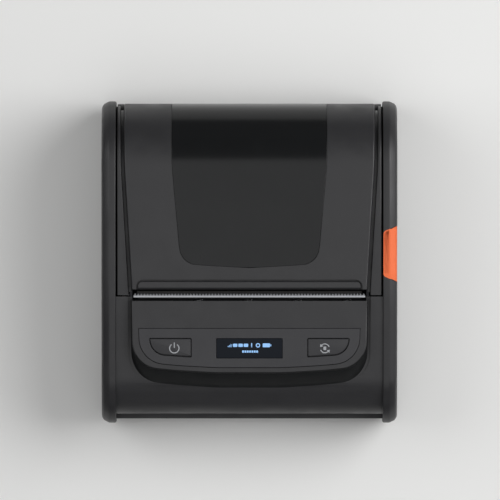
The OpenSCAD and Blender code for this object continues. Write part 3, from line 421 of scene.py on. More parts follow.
dark = {"heat_sink": "anodised", "mech_frame": "zincBlack", "platen_bracket": "zincBlack",
        "latch_bar": "zincBlack", "head_cable": "blackPlastic"}   # by the paper slot and in the bay
for name, obj in frame["nodes"].items():
    finish = finishes[dark.get(name, slots[slotOf[name]])]
    obj.data.materials.clear()
    obj.data.materials.append(finish)
for name in ("lower_case", "battery_pack", "port_cover", "rubber_feet"):   # outer pieces kept from the model
    softenEdges(frame["nodes"][name], 0.0004, 2, 50)
print("finishes made:", len(finishes))


def fit(obj, body, slotName, *nodes):   # a piece rides on its body and stands for its nodes
    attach(obj, body)
    if nodes:
        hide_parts(*nodes)
    return obj


# ---- cheeks: the side outline lofted outwards, with a broad chamfer rounded into the face
cheekSettings = {"chamferRound": 0.0009, "innerEdge": 0.0006, "outlineParts": 18}
cheekOutline = rounded(sidePoints(casing["cheekProud"], halfL - caseBack, casing["cheekRise"]),
                       cheekSettings["outlineParts"])


def cheekSections():   # (x, inset) from the inner face to the outer face
    c, r, e = casing["chamfer"], cheekSettings["chamferRound"], cheekSettings["innerEdge"]
    rows = [(cheekIn, e), (cheekIn + e * 0.3, e * 0.3), (cheekIn + e, 0)]
    rows += [(halfW - c - r * 0.9, 0), (halfW - c - r * 0.3, r * 0.06), (halfW - c + r * 0.25, r * 0.3)]
    rows += [(halfW - c * 0.36, c * 0.36), (halfW - c * 0.16, c * 0.62), (halfW - c * 0.04, c * 0.86)]
    return rows + [(halfW, c * 1.12)]


def cheek(name, side, finish="cheekGrey", outermost=halfW):
    loops = [[Vector((side * min(x, outermost), p.x, p.y)) for p in inset(cheekOutline, d)]
             for x, d in cheekSections()]
    return loft(name, loops, finishes[finish], 32)


releaseY, releaseTop = tearY + 0.0204, caseTop + casing["cheekRise"]
releaseSettings = {"outside": 0.0274, "inside": 0.0206, "height": 0.012, "gap": 0.0004, "travel": 0.0025,
                   "innerRound": 0.0022, "outerRound": 0.0003, "gripRadius": 0.00055, "gripStep": 0.0045}


def releasePlan(grow):
    a, b = releaseSettings["inside"] / 2 + grow, releaseSettings["outside"] / 2 + grow
    x0, x1 = cheekIn + 0.0002 - grow, halfW + grow
    inner, outer = releaseSettings["innerRound"], releaseSettings["outerRound"]
    return rounded([(x0, releaseY - a, inner), (x1, releaseY - b, outer), (x1, releaseY + b, outer),
                    (x0, releaseY + a, inner)], 6)


rightCheek = cheek("right_cheek_panel", 1)
well = prismZ("well", releasePlan(releaseSettings["gap"]),
              releaseTop - releaseSettings["height"] - releaseSettings["travel"] - 0.0004, 0.09)
latchY, latchZ = tearY + 0.0077 - 0.0003, deckBackH - 0.011 - 0.014
leverSlot = block("slot", (cheekIn - 0.001, latchY - 0.016, latchZ - 0.005),
                  (cheekIn + 0.0036, releaseY + 0.008, releaseTop - 0.012 - 0.0025))
carve(rightCheek, [well, leverSlot], sharp=32)
softenEdges(rightCheek, 0.00035, 2, 50)
fit(rightCheek, "case", "cheek_grey", "right_cheek")

leftCheek = cheek("left_cheek_panel", -1)
packLow, packTop = carried("battery_pack")
coverLow, coverTop = carried("port_cover")
grow = 0.00015
batteryHole = block("battery hole", (-halfW - 0.001, packLow.y - grow, packLow.z - grow),
                    (packTop.x, packTop.y + grow, packTop.z + grow))
coverSeat = block("cover seat", (-halfW - 0.001, coverLow.y - 0.0004, coverLow.z - 0.0004),
                  (-halfW + 0.002, coverTop.y + 0.0004, coverTop.z + 0.0004))


def portWay(outside=0.0):   # the way in to the ports, through the cheek and the casing
    return block("port way", (-halfW - outside, coverLow.y + 0.002, coverLow.z + 0.0014),
                 (-cheekIn + 0.0032, coverTop.y - 0.002, coverTop.z - 0.0014))


carve(leftCheek, [batteryHole, coverSeat, portWay(0.001)], sharp=32)
softenEdges(leftCheek, 0.00035, 2, 50)
fit(leftCheek, "case", "cheek_grey", "left_cheek")
print("cheeks made")

# ---- release button: a slice of the cheek's own form with three grip grooves
def releaseButton():
    body = cheek("lid_release", 1, "orange", halfW - 0.0001)
    keep = prismZ("keep", releasePlan(0), releaseTop - releaseSettings["height"], 0.09)
    carve(body, [keep], "INTERSECT", 32)
    grooves = [rodX("groove", releaseSettings["gripRadius"], cheekIn - 0.001, halfW + 0.001,
                    releaseY + k * releaseSettings["gripStep"], releaseTop + 0.00005, parts=16) for k in (-1, 0, 1)]
    carve(body, grooves, sharp=32)
    softenEdges(body, 0.0006, 3, 50)
    return body


fit(releaseButton(), "release", "orange")
print("release button made")

# ---- lid: a surface over the case outline that rises to the raised middle beside a groove
lidSettings = {"grooveWide": 0.0016, "grooveDeep": 0.0021, "edge": 0.0009}


def overTop(outline, startY, lowest):   # a side outline from startY over the top and down the back to lowest
    path = []
    for i, p in enumerate(outline):
        q = outline[(i + 1) % len(outline)]
        steps = max(1, int((q - p).length / 0.0022))
        path += [p + (q - p) * k / steps for k in range(steps)]
    at = next(k for k in range(1, len(path)) if path[k - 1].x <= startY < path[k].x and path[k].y > 0.05)
    a, b = path[at - 1], path[at]
    back = max(p.x for p in path)
    start = a + (b - a) * (startY - a.x) / (b.x - a.x)
    return [start] + [p for p in path[at:] if p.y > lowest] + [Vector((back, lowest))]


def heightTo(outline, p, n):   # distance from p along n to an outline
    best = None
    for i, a in enumerate(outline):
        b = outline[(i + 1) % len(outline)]
        d = b - a
        cross = n.x * d.y - n.y * d.x
        if abs(cross) < 1e-12:
            continue
        t = ((a.x - p.x) * d.y - (a.y - p.y) * d.x) / cross
        u = ((a.x - p.x) * n.y - (a.y - p.y) * n.x) / cross
        if -1e-6 <= u <= 1 + 1e-6 and t > -0.001 and (best is None or t < best):
            best = t
    return best if best is not None else 0.002


lidPath = overTop(caseOutline, lidFront, hinge.z)
lidRows = []
for i, p in enumerate(lidPath):
    a, b = lidPath[max(0, i - 1)], lidPath[min(len(lidPath) - 1, i + 1)]
    d = (b - a).normalized()
    n = Vector((-d.y, d.x))
    lidRows.append((p, n, heightTo(tongueOutline, p, n)))
tongueSide = rounded([(tongueHalf, noseFront, 0), (tongueRearHalf, bendY, 0.2),
                      (tongueRearHalf + 0.0002, halfL + 0.005, 0)], 24)


def halfAt(side, y):   # x at y of a line that runs from front to back
    if y <= side[0].y:
        return side[0].x
    for a, b in zip(side, side[1:]):
        if a.y <= y <= b.y and b.y > a.y:
            return a.x + (b.x - a.x) * (y - a.y) / (b.y - a.y)
    return side[-1].x


def lidSection(half, rise):   # (x, height above the case outline) from the middle outwards
    e, g, gd = lidSettings["edge"], lidSettings["grooveWide"], lidSettings["grooveDeep"]
    inner = half - g / 2
    across = [(inner * k / 8, rise) for k in range(8)]
    across += [(inner - e, rise), (inner - e * 0.6, rise - e * 0.06), (inner - e * 0.25, rise - e * 0.3),
               (inner - e * 0.04, rise - e * 0.75), (inner, rise - e * 1.2), (inner + g * 0.1, -gd)]
    outer = inner + g
    across += [(outer - g * 0.1, -gd), (outer, -0.0004), (outer + 0.00015, -0.0001), (outer + 0.0005, 0)]
    across += [(outer + 0.0005 + (lidHalf - 0.0006 - outer - 0.0005) * k / 3, 0) for k in (1, 2, 3)]
    across += [(lidHalf - 0.0002, -0.00012), (lidHalf - 0.00004, -0.0004), (lidHalf, -0.0009)]
    return across


def lidPoint(row, x, h):
    p, n, _ = row
    return Vector((x, p.x + n.x * h, p.y + n.y * h))


def lidSolid():
    grid = []
    for row in lidRows:
        right = lidSection(halfAt(tongueSide, row[0].x + row[1].x * row[2]), row[2])
        full = [(-x, h) for x, h in reversed(right[1:])] + right
        grid.append([lidPoint(row, x, h) for x, h in full])
    skirtFront = shoulderH - 0.0145
    grid.insert(0, [Vector((v.x, lidFront, skirtFront)) for v in grid[0]])
    grid.append([Vector((v.x, hinge.y, hinge.z)) for v in grid[-1]])
    rows, cols = len(grid), len(grid[0])
    verts = [v for line in grid for v in line]
    faces = [(r * cols + c, r * cols + c + 1, (r + 1) % rows * cols + c + 1, (r + 1) % rows * cols + c)
             for r in range(rows) for c in range(cols - 1)]
    faces += [tuple(r * cols for r in range(rows)), tuple(r * cols + cols - 1 for r in range(rows))]
    return makeMesh("lid_cover", verts, faces, finishes["lidGrey"], 32)


windowSettings = {"front": 0.0136, "frontHalf": 0.0336, "half": 0.038, "bow": 0.0019, "corner": 0.009,
                  "bend": 0.08, "low": -0.0013, "top": 0.00006, "lowest": 0.044, "edge": 0.0002}


def windowPlan(grow):   # right half, from the middle of the front edge to behind the casing
    w = windowSettings
    front = tearY + w["front"] - grow
    return rounded([(0.0, front, 0), (w["frontHalf"] + grow, front + w["bow"], w["corner"]),
                    (w["half"] + grow, bendY, w["bend"]), (w["half"] + grow, halfL + 0.005, 0)], 10)


def mirrorPlan(right):   # a closed plan from its right half
    return right + [Vector((-p.x, p.y)) for p in reversed(right) if p.x > 1e-6]


def raisedMiddle(row):   # the point of a lid row on the raised middle
    return row[0] + row[1] * row[2]


cornerRows = (0.000001, 0.0003, 0.0007, 0.0012, 0.0017, 0.0022, 0.003, 0.004, 0.0055, 0.0075, 0.009)


def windowSlab(name, grow, low, top, lowest, material=None, edge=0.0):   # a patch of the raised middle
    side, rows = windowPlan(grow), []
    front = side[0].y
    surface = [(raisedMiddle(r), r[1]) for r in lidRows]
    for y in (front + step for step in cornerRows[:-1]):   # close rows where the front corners curve
        k = next(k for k in range(1, len(surface)) if surface[k][0].x >= y)
        a, b = surface[k - 1], surface[k]
        t = (y - a[0].x) / (b[0].x - a[0].x)
        rows.append((a[0].lerp(b[0], t), a[1].lerp(b[1], t).normalized(), halfAt(side, y)))
    rows += [(p, n, halfAt(side, p.x)) for p, n in surface if p.x > front + cornerRows[-1] and p.y > lowest]
    cols = 13

    def sheet(depth, shrink):
        out = []
        for i, (p, n, w) in enumerate(rows):
            move = Vector((0, 0))
            if shrink and i in (0, len(rows) - 1):
                along = (rows[1][0] - p) if i == 0 else (rows[-2][0] - p)
                move = along.normalized() * shrink
            out.append([Vector(((-1 + 2 * c / (cols - 1)) * max(w - shrink, 0.00005), p.x + n.x * depth + move.x,
                                p.y + n.y * depth + move.y)) for c in range(cols)])
        return out
    layers = [sheet(low, 0), sheet(top - edge, 0)]
    if edge:
        layers += [sheet(top - edge * 0.3, edge * 0.3), sheet(top, edge)]
    n = len(rows) * cols
    verts = [v for layer in layers for line in layer for v in line]
    rim = [*range(cols), *(r * cols + cols - 1 for r in range(1, len(rows))),
           *((len(rows) - 1) * cols + c for c in range(cols - 2, -1, -1)),
           *(r * cols for r in range(len(rows) - 2, 0, -1))]
    faces = []
    for base in (0, n * (len(layers) - 1)):
        corners = [base + r * cols + c for r in range(len(rows) - 1) for c in range(cols - 1)]
        faces += [(i, i + 1, i + cols + 1, i + cols) for i in corners]
    for k in range(len(layers) - 1):
        faces += [(k * n + rim[i], k * n + rim[(i + 1) % len(rim)], (k + 1) * n + rim[(i + 1) % len(rim)],
                   (k + 1) * n + rim[i]) for i in range(len(rim))]
    return makeMesh(name, verts, faces, material, 40)


lid = lidSolid()
hollowFront = lidFront + casing["wall"]
skin = lidHalf - casing["wall"]
hollow = prismX("hollow", overTop(inset(caseOutline, casing["wall"]), hollowFront, 0.02)
                + [Vector((caseBack - casing["wall"], -0.01)), Vector((hollowFront, -0.01))], -skin, skin)
carve(lid, [hollow])
carve(lid, [rodX("barrel", 0.0065, -lidHalf, lidHalf, hinge.y, hinge.z, parts=64)], "UNION")
clear, nose = tongueHalf - 0.0006, {"half": 0.0545, "long": 0.0039, "gap": 0.00015, "line": 0.0009, "round": 0.0024}


def nosePlan(grow):
    x, back = nose["half"] + grow, noseFront + nose["long"] + grow
    return rounded([(-x, noseFront - 0.002, 0), (x, noseFront - 0.002, 0), (x, back, nose["round"] + grow),
                    (-x, back, nose["round"] + grow)], 8)


knuckles = {"x": cheekIn - 0.0151, "wide": 0.0072, "room": 0.0004, "r": 0.0066}
springRoom = {"long": 0.012, "gap": 0.0002, "r": 0.0053}
gearRoom = {"side": 0.0004, "r": 0.0072}
rooms = [block("front", (-clear, lidFront - 0.001, 0.01), (clear, noseFront, 0.09)),
         block("platen room", (-clear, lidFront - 0.002, 0.009),
               (clear, noseFront + 0.013, deckBackH - casing["wall"])),
         block("latch room", (-skin, lidFront - 0.003, 0.008),
               (skin, lidFront + casing["wall"] + 0.001, shoulderH - casing["wall"])),
         prismZ("nose seat", nosePlan(nose["gap"]), 0.011, 0.091),
         prismZ("nose line", nosePlan(nose["line"]), high - 0.0042, 0.092),
         prismZ("opening", mirrorPlan(windowPlan(-0.003)), 0.047, 0.0925),
         windowSlab("rebate", 0.00015, windowSettings["low"] - 0.00015, 0.003, windowSettings["lowest"] - 0.00015),
         rodX("pin bore", 0.00205, -0.081, 0.081, hinge.y, hinge.z, parts=40)]
hingeRooms = ((knuckles["r"], -knuckles["room"], knuckles["wide"] + knuckles["room"], 56),
              (springRoom["r"], -springRoom["long"], -springRoom["gap"], 44))
for side in (-1, 1):
    for r, start, end, parts in hingeRooms:
        ends = sorted((side * (knuckles["x"] + start), side * (knuckles["x"] + end)))
        rooms.append(rodX("hinge room", r, *ends, hinge.y, hinge.z, parts=parts))
gearLow, gearTop = carried("platen_gear")
rooms.append(rodX("gear room", gearRoom["r"], gearLow.x - gearRoom["side"], gearTop.x + gearRoom["side"],
                  (gearLow.y + gearTop.y) / 2, (gearLow.z + gearTop.z) / 2))
carve(lid, rooms, sharp=32)
softenEdges(lid, 0.0002, 2, 50)
fit(lid, "lid", "case_grey", "lid_shell")
w = windowSettings
window = windowSlab("lid_window_pane", 0, w["low"], w["top"], w["lowest"], finishes["smoke"], w["edge"])
fit(evenShading(window), "lid", "smoked_window", "lid_window")


def noseStrip():
    top = [p for p in map(raisedMiddle, lidRows) if p.x > noseFront - 0.004][:8]

    def topAt(y):
        a, b = next((a, b) for a, b in zip(top, top[1:]) if b.x >= y)
        return a.y + (b.y - a.y) * (y - a.x) / (b.x - a.x)

    y0, y1 = noseFront, noseFront + nose["long"]
    rows = ((y0, y0, -0.0022), (y0, y0, -0.0009), (y0 + 0.0003, y0, -0.0003), (y0 + 0.0009, y0 + 0.0009, 0.00012),
            (y1 - 0.0007, y1 - 0.0007, 0.0001), (y1 - 0.0002, y1, -0.0001), (y1, y1, -0.0005), (y1, y1, -0.0022))
    profile = [Vector((y, topAt(under) + rise)) for y, under, rise in rows]   # a low step with eased corners
    strip = prismX("lid_nose_strip", profile, -nose["half"], nose["half"], finishes["caseGrey"])
    carve(strip, [prismZ("keep", nosePlan(0), 0.05, 0.09)], "INTERSECT")
    return softenEdges(strip, 0.00025, 2, 40)


fit(noseStrip(), "lid", "case_grey", "lid_nose")
print("lid made")

# ---- deck: the front of the casing with the raised deck growing out of it
deckSettings = {"edge": 0.0011, "wallFoot": 0.002, "backGap": 0.0022, "footFlare": -0.0006, "footFront": 0.0017,
                "bow": 0.0026, "topBow": 0.0034, "round": 0.014, "tearSeat": 0.0573,
                "groove": 0.0006, "grooveDeep": 0.0018, "grooveFront": -0.0606}
panelSettings = {"half": 0.0538, "back": 0.0163, "long": 0.0194, "thick": 0.0016, "bow": 0.0029, "round": 0.013,
                 "gap": 0.00022, "edge": 0.00022}


def raisedDeck(shrink=0.0, lowered=0.0):   # a lofted wall that leans in to a rounded top edge
    d = deckSettings
    top = deckPlan(tongueHalf - 0.0008 - shrink, -d["backGap"], -deckLen + shrink, d["topBow"], d["round"] - shrink)
    foot = deckPlan(tongueHalf + d["footFlare"] - shrink, tearY - d["backGap"],
                    ledgeY - d["footFront"] + shrink, d["bow"], d["round"] - shrink)
    flat = rounded(top, 12)
    onTop, onFoot = level(flat, -lowered, onDeck), level(rounded(foot, 12), ledgeH - d["wallFoot"] - lowered)
    loops = [onFoot] + [[a.lerp(b, t) for a, b in zip(onFoot, onTop)] for t in (0.35, 0.7)]
    for k in range(6):   # a quarter round from the leaning wall into the top
        a = math.radians(18 * k)
        inward, drop = d["edge"] * (1 - math.cos(a)), d["edge"] * (1 - math.sin(a))
        loops.append(level(inset(flat, inward), -lowered - drop, onDeck))
    return loft("raised_deck", loops, finishes["caseGrey"], 30)


def panelPlan(grow):
    p = panelSettings
    return rounded(deckPlan(p["half"] + grow, grow - p["back"], -p["back"] - p["long"] - grow, p["bow"],
                            p["round"] + grow), 12)


def frontOnly(obj, below, behind):   # keeps what lies above the split line and in front of the tear bar
    return carve(obj, [block("keep", (-0.1, -0.1, casing["split"] - below), (0.1, tearY + behind, 0.1))], "INTERSECT")


deckSide = rounded(sidePoints(-casing["lip"], 0, 0), 16)
deck = prismX("deck_shell", deckSide, -cheekIn, cheekIn, finishes["caseGrey"])
frontOnly(deck, 0, -0.0005)
ring = rounded(deckPlan(tongueHalf + deckSettings["groove"], tearY + 0.001, deckSettings["grooveFront"],
                        deckSettings["bow"], deckSettings["round"]), 12)
grooveSlope = (shoulderH - deckSettings["grooveDeep"] - ledgeH) / (tearY - deckSettings["grooveFront"])
grooveFloor = [Vector((p.x, p.y, ledgeH + (p.y - deckSettings["grooveFront"]) * grooveSlope)) for p in ring]
carve(deck, [loft("groove", [grooveFloor, level(ring, 0.09)])])
carve(deck, [raisedDeck()], "UNION")
inner = prismX("inner", inset(deckSide, casing["wall"]), -cheekIn + casing["wall"], cheekIn - casing["wall"])
frontOnly(inner, 0.001, 0.001)
carve(inner, [raisedDeck(casing["wall"], casing["wall"])], "UNION")
frontOnly(inner, 0.001, 0.001)
seat = deckSettings["tearSeat"]
carve(deck, [inner, block("tear seat", (-seat, tearY - 0.0026, 0.04), (seat, tearY + 0.002, 0.09)),
             prismZ("panel seat", panelPlan(panelSettings["gap"]), -panelSettings["thick"], 0.01, place=onDeck),
             prismZ("panel way", panelPlan(-0.0024), -0.012, 0.01, place=onDeck), portWay()], sharp=30)
deck.data.materials.append(finishes["wallPaintedShade"])
for face in deck.data.polygons:   # painted shade: the leaning wall round the raised deck, and the sides beside its groove, get a darker grey than its top, standing for the shade they lie in
    c = face.center
    # painted shade masks: faces of the leaning front wall, and of the groove sides beside the raised deck
    wall = 0.3 < face.normal.z < 0.9 and face.normal.y < -0.3 and c.z > ledgeH - 0.0005 and c.y > ledgeY - 0.0015
    side = abs(face.normal.x) > 0.5 and abs(c.x) < tongueHalf + 0.0008 and c.y < tearY - 0.0024 and c.z > ledgeH
    if wall or side:
        face.material_index = len(deck.data.materials) - 1
softenEdges(deck, 0.00028, 2, 50)
fit(deck, "case", "case_grey", "deck_case")
print("deck made")

# ---- control panel: a plate with two keys and a display
keySettings = {"spanHalf": 0.0483, "wide": 0.0196, "long": 0.0094, "below": 0.0051, "bow": 0.002, "round": 0.0075,
               "gap": 0.0004, "edge": 0.00035, "skirt": 0.0012, "deep": 0.0032}
displaySettings = {"half": 0.0161, "near": 0.0309, "far": 0.0213, "lensTop": -0.00012}


def keyOutline(grow, parts=8):
    k, back = keySettings, -panelSettings["back"] - keySettings["below"] + grow
    full = rounded(deckPlan(k["spanHalf"] + grow, back, back - grow - k["long"] - grow, k["bow"], k["round"] + grow),
                   parts)
    cut = k["spanHalf"] - k["wide"] - grow
    out = []   # the part of the outline to the right of the cut
    for i, p in enumerate(full):
        q = full[(i + 1) % len(full)]
        if p.x >= cut:
            out.append(p)
        if (p.x - cut) * (q.x - cut) < 0:
            out.append(p + (q - p) * (cut - p.x) / (q.x - p.x))
    return out


def roundedCorners(outline, r, parts=4):   # rounds only the sharp corners of an outline
    points = []
    for i, p in enumerate(outline):
        a, c = outline[i - 1], outline[(i + 1) % len(outline)]
        u, w = (a - p), (c - p)
        bend = math.degrees(math.acos(max(-1, min(1, -u.normalized().dot(w.normalized())))))
        points.append([p.x, p.y, min(r, u.length * 0.45, w.length * 0.45) if bend > 40 else 0])
    return rounded(points, parts)


def flip(outline, side):
    return [Vector((side * p.x, p.y)) for p in outline]


def plate(name, outline, low, top, edge, material, place=onDeck):   # a slab whose top edge is rounded
    loops = [level(outline, low, place)]
    for a in (math.radians(30 * k) for k in range(4)):
        loops.append(level(inset(outline, edge * (1 - math.cos(a))), top - edge * (1 - math.sin(a)), place))
    return loft(name, loops, material, 35)


def rectangle(half, y0, y1, r=0.0004, parts=4):
    return rounded([(-half, y0, r), (half, y0, r), (half, y1, r), (-half, y1, r)], parts)


panel = plate("control_panel", panelPlan(0), -panelSettings["thick"], -0.00004, panelSettings["edge"],
              finishes["panelGrey"])
s = displaySettings
keyWay = roundedCorners(keyOutline(keySettings["gap"]), 0.0008)
cuts = [prismZ("key way", flip(keyWay, side), -0.004, 0.004, place=onDeck) for side in (-1, 1)]
cuts += [prismZ("display seat", rectangle(s["half"] + 0.00015, -s["near"] - 0.00015, -s["far"] + 0.00015, 0.0003),
                -0.001, 0.004, place=onDeck),
         prismZ("display way", rectangle(s["half"] - 0.0012, -s["near"] + 0.0012, -s["far"] - 0.0012), -0.004, 0.004,
                place=onDeck)]
carve(panel, cuts, sharp=35)
softenEdges(panel, 0.00012, 2, 50)
fit(panel, "case", "panel_grey", "panel_insert")
for body, side in (("power_key", -1), ("feed_key", 1)):
    cap = plate(body + "_cap", flip(roundedCorners(keyOutline(0), 0.0006), side), -keySettings["deep"], -0.0002,
                keySettings["edge"], finishes["keyGrey"])
    skirt = prismZ("skirt", flip(keyOutline(keySettings["skirt"]), side), -keySettings["deep"],
                   -keySettings["deep"] + 0.0009, finishes["keyGrey"], onDeck)
    carve(cap, [skirt], "UNION")
    fit(cap, body, "key_grey", body)
print("control panel made")

# ---- marks on the keys and on the display: plain signs in thin flat shapes, one mesh a sign
markSettings = {"raise": 0.00006, "line": 0.0005, "size": 0.0023, "row": -0.0246, "secondRow": -0.0277}


def arcBand(cx, cy, r, line, start, end, parts=28):   # part of a ring, as an outline
    turns = [math.radians(start + (end - start) * k / parts) for k in range(parts + 1)]
    outer, inner = ([Vector((cx + side * math.cos(a), cy + side * math.sin(a))) for a in turns]
                    for side in (r + line / 2, r - line / 2))
    return outer + inner[::-1]


def bar(cx, cy, wide, high):
    return [p + Vector((cx, cy)) for p in rectangle(wide / 2, -high / 2, high / 2, min(wide, high) * 0.2, 2)]


def signs(name, outlines, low, top, material):   # several flat outlines as one thin mesh
    verts, faces = [], []
    for outline in outlines:
        n, base = len(outline), len(verts)
        for z in (low, top):
            verts += level(outline, z, onDeck)
        faces += [(base + i, base + (i + 1) % n, base + n + (i + 1) % n, base + n + i) for i in range(n)]
        faces += [tuple(base + i for i in range(n)), tuple(base + n + i for i in range(n))]
    return makeMesh(name, verts, faces, material, 30)


def glow(name, colour, strength):
    mat, tree, shader, coords = newMaterial(name)
    fleck = blendColours(tree, noise(tree, coords, 900, 2), shade(colour, 0.86), colour)
    give(tree, shader, {"Base Color": fleck, "Emission Color": fleck, "Emission Strength": strength,
                        "Roughness": 0.4})
    return mat


finishes["lit"] = glow("lit pixels", srgb(128, 170, 216), 0.6)
finishes["print"] = moulded("printed sign", srgb(168, 170, 174), 0.5, grain=5000, relief=0.00001, spread=0.05)
m = markSettings
keyY = -0.02610
powerX, feedX = -0.0368, 0.0370
powerSign = [arcBand(powerX, keyY, m["size"], m["line"], 125, 415), bar(powerX, keyY + 0.0016, m["line"], 0.0026)]
fit(signs("power_sign", powerSign, -0.00024, -0.0002 + m["raise"], finishes["print"]), "power_key", "key_grey")


def arrowHead(cx, cy, r, at, way, size):   # a triangle on a ring, pointing along it
    a = math.radians(at)
    c, t = Vector((cx + r * math.cos(a), cy + r * math.sin(a))), Vector((-math.sin(a), math.cos(a))) * way
    n = Vector((math.cos(a), math.sin(a)))
    return [c + t * size, c + n * size * 0.75, c - n * size * 0.75]


feedSign = []
for turn in (0, 180):
    feedSign.append(arcBand(feedX, keyY, m["size"] * 0.95, m["line"], turn + 20, turn + 135))
    feedSign.append(arrowHead(feedX, keyY, m["size"] * 0.95, turn + 135, 1, 0.0012))
feedSign.append(bar(feedX, keyY, 0.0014, 0.0018))
fit(signs("feed_sign", feedSign, -0.00024, -0.0002 + m["raise"], finishes["print"]), "feed_key", "key_grey")

s = displaySettings
lens = plate("display_lens_glass", rectangle(s["half"], -s["near"], -s["far"], 0.0003), -0.001, s["lensTop"], 0.00012,
             finishes["lens"])
fit(lens, "case", "display_glass", "display_lens")
row, second = m["row"], m["secondRow"]
lit = [bar(-0.0104 + 0.0007 * k, row - 0.0006 + 0.00022 * k, 0.0004, 0.0006 + 0.00044 * k) for k in range(3)]
lit += [bar(x, row, 0.0022, 0.0016) for x in (-0.0070, -0.0043, -0.0017)]
lit += [bar(0.0011, row + 0.0003, 0.0005, 0.0016), bar(0.0011, row - 0.0008, 0.0005, 0.0004)]
lit += [arcBand(0.0042, row, 0.00085, 0.0005, 0, 358)]
lit += [bar(0.0083, row, 0.0036, 0.0019), bar(0.0105, row, 0.0004, 0.0010)]
lit += [bar(-0.0031 + 0.00115 * k, second, 0.0009, 0.0011) for k in range(7)]
fit(signs("display_signs", lit, s["lensTop"] - 0.00002, s["lensTop"] + 0.00003, finishes["lit"]), "case",
    "display_glass")
print("signs made")
# ---- what repeats is made by node trees that place a small shape on marked points
def newTree(name, inputs):
    tree = bpy.data.node_groups.new(name, "GeometryNodeTree")
    tree.is_modifier = True
    tree.interface.new_socket("Geometry", in_out="INPUT", socket_type="NodeSocketGeometry")
    for label, kind, value in inputs + [("Material", "Material", None)]:
        item = tree.interface.new_socket(label, in_out="INPUT", socket_type="NodeSocket" + kind)
        if value is not None:
            item.default_value = value
    tree.interface.new_socket("Geometry", in_out="OUTPUT", socket_type="NodeSocketGeometry")
    return tree, tree.nodes.new("NodeGroupInput").outputs


def vector(tree, x=0.0, y=0.0, z=0.0):
    return add(tree, "ShaderNodeCombineXYZ", {"X": x, "Y": y, "Z": z})


def calc(tree, a, operation, b):
    return add(tree, "ShaderNodeMath", {0: a, 1: b}, operation=operation)


def times(tree, a, k):
    return calc(tree, a, "MULTIPLY", k)


def moved(tree, geometry, **inputs):
    return add(tree, "GeometryNodeTransform", {"Geometry": geometry, **inputs})


def facing(tree):   # a rotation that turns Z to the point's own way
    way = add(tree, "GeometryNodeInputNamedAttribute", {"Name": "way"}, data_type="FLOAT_VECTOR")
    return add(tree, "FunctionNodeAlignRotationToVector", {"Vector": way}, axis="Z")


def placed(tree, g, shapes):   # ends a tree: the joined shapes on every point, as one plain mesh
    shape = add(tree, "GeometryNodeJoinGeometry", {"Geometry": shapes}) if len(shapes) > 1 else shapes[0]
    copies = add(tree, "GeometryNodeInstanceOnPoints",
                 {"Points": g["Geometry"], "Instance": shape, "Rotation": facing(tree)})
    real = add(tree, "GeometryNodeRealizeInstances", {"Geometry": copies})
    paint = add(tree, "GeometryNodeSetMaterial", {"Geometry": real, "Material": g["Material"]})
    add(tree, "NodeGroupOutput", {"Geometry": paint})
    return tree


def grown(name, tree, points, ways, values, sharp=35):   # runs a tree on marked points and keeps the plain mesh
    mesh = bpy.data.meshes.new(name)
    mesh.from_pydata([tuple(p) for p in points], [], [])
    way = mesh.attributes.new("way", "FLOAT_VECTOR", "POINT")
    for i, w in enumerate(ways):
        way.data[i].vector = w
    obj = bpy.data.objects.new(name, mesh)
    scene.collection.objects.link(obj)
    mod = obj.modifiers.new("grow", "NODES")
    mod.node_group = tree
    for item in tree.interface.items_tree:
        if item.in_out == "INPUT" and item.name in values:
            mod[item.identifier] = values[item.name]
    applied(obj)
    smooth(obj, sharp)
    return obj


def winding(tree, turns, radius, height, wire, steps, sides):   # wire wound up along Z
    helix = add(tree, "GeometryNodeCurveSpiral", {"Resolution": steps, "Rotations": turns, "Start Radius": radius,
                                                  "End Radius": radius, "Height": height})
    profile = add(tree, "GeometryNodeCurvePrimitiveCircle", {"Resolution": sides, "Radius": wire})
    return add(tree, "GeometryNodeCurveToMesh", {"Curve": helix, "Profile Curve": profile, "Fill Caps": True})


def screwTree():   # a pan head with a cross recess on a threaded shank
    tree, g = newTree("screws", [
        ("Head Radius", "Float", 0.0025), ("Head Height", "Float", 0.0015), ("Shank Radius", "Float", 0.0013),
        ("Shank Length", "Float", 0.008), ("Recess Width", "Float", 0.0006), ("Recess Depth", "Float", 0.0008),
        ("Thread Pitch", "Float", 0.0008)])
    core, threadMiddle, threadLong, threadWire = 0.82, 0.85, 0.94, 0.3   # shares of radius, length and pitch
    up = lambda value, k: vector(tree, z=times(tree, value, k))
    head = add(tree, "GeometryNodeMeshCylinder",
               {"Vertices": 32, "Radius": g["Head Radius"], "Depth": g["Head Height"]})
    head = moved(tree, head, Translation=up(g["Head Height"], 0.5))
    long, wide, deep = times(tree, g["Head Radius"], 1.15), g["Recess Width"], times(tree, g["Recess Depth"], 2)
    slots = [moved(tree, add(tree, "GeometryNodeMeshCube", {"Size": vector(tree, x, y, deep)}),
                   Translation=vector(tree, z=g["Head Height"])) for x, y in ((long, wide), (wide, long))]
    head = add(tree, "GeometryNodeMeshBoolean", {0: head, 1: slots}, operation="DIFFERENCE")
    shank = add(tree, "GeometryNodeMeshCylinder",
                {"Vertices": 16, "Radius": times(tree, g["Shank Radius"], core), "Depth": g["Shank Length"]})
    thread = winding(tree, calc(tree, g["Shank Length"], "DIVIDE", g["Thread Pitch"]),
                     times(tree, g["Shank Radius"], threadMiddle), times(tree, g["Shank Length"], threadLong),
                     times(tree, g["Thread Pitch"], threadWire), 14, 4)
    return placed(tree, g, [head, moved(tree, shank, Translation=up(g["Shank Length"], -0.5)),
                            moved(tree, thread, Translation=up(g["Shank Length"], -(1 + threadLong) / 2))])


def springTree():   # a coil of round wire that starts at its point and winds along the point's way
    tree, g = newTree("springs", [("Coil Radius", "Float", 0.0017), ("Wire Radius", "Float", 0.00025),
                                  ("Length", "Float", 0.004), ("Turns", "Float", 6.0)])
    return placed(tree, g, [winding(tree, g["Turns"], g["Coil Radius"], g["Length"], g["Wire Radius"], 20, 8)])


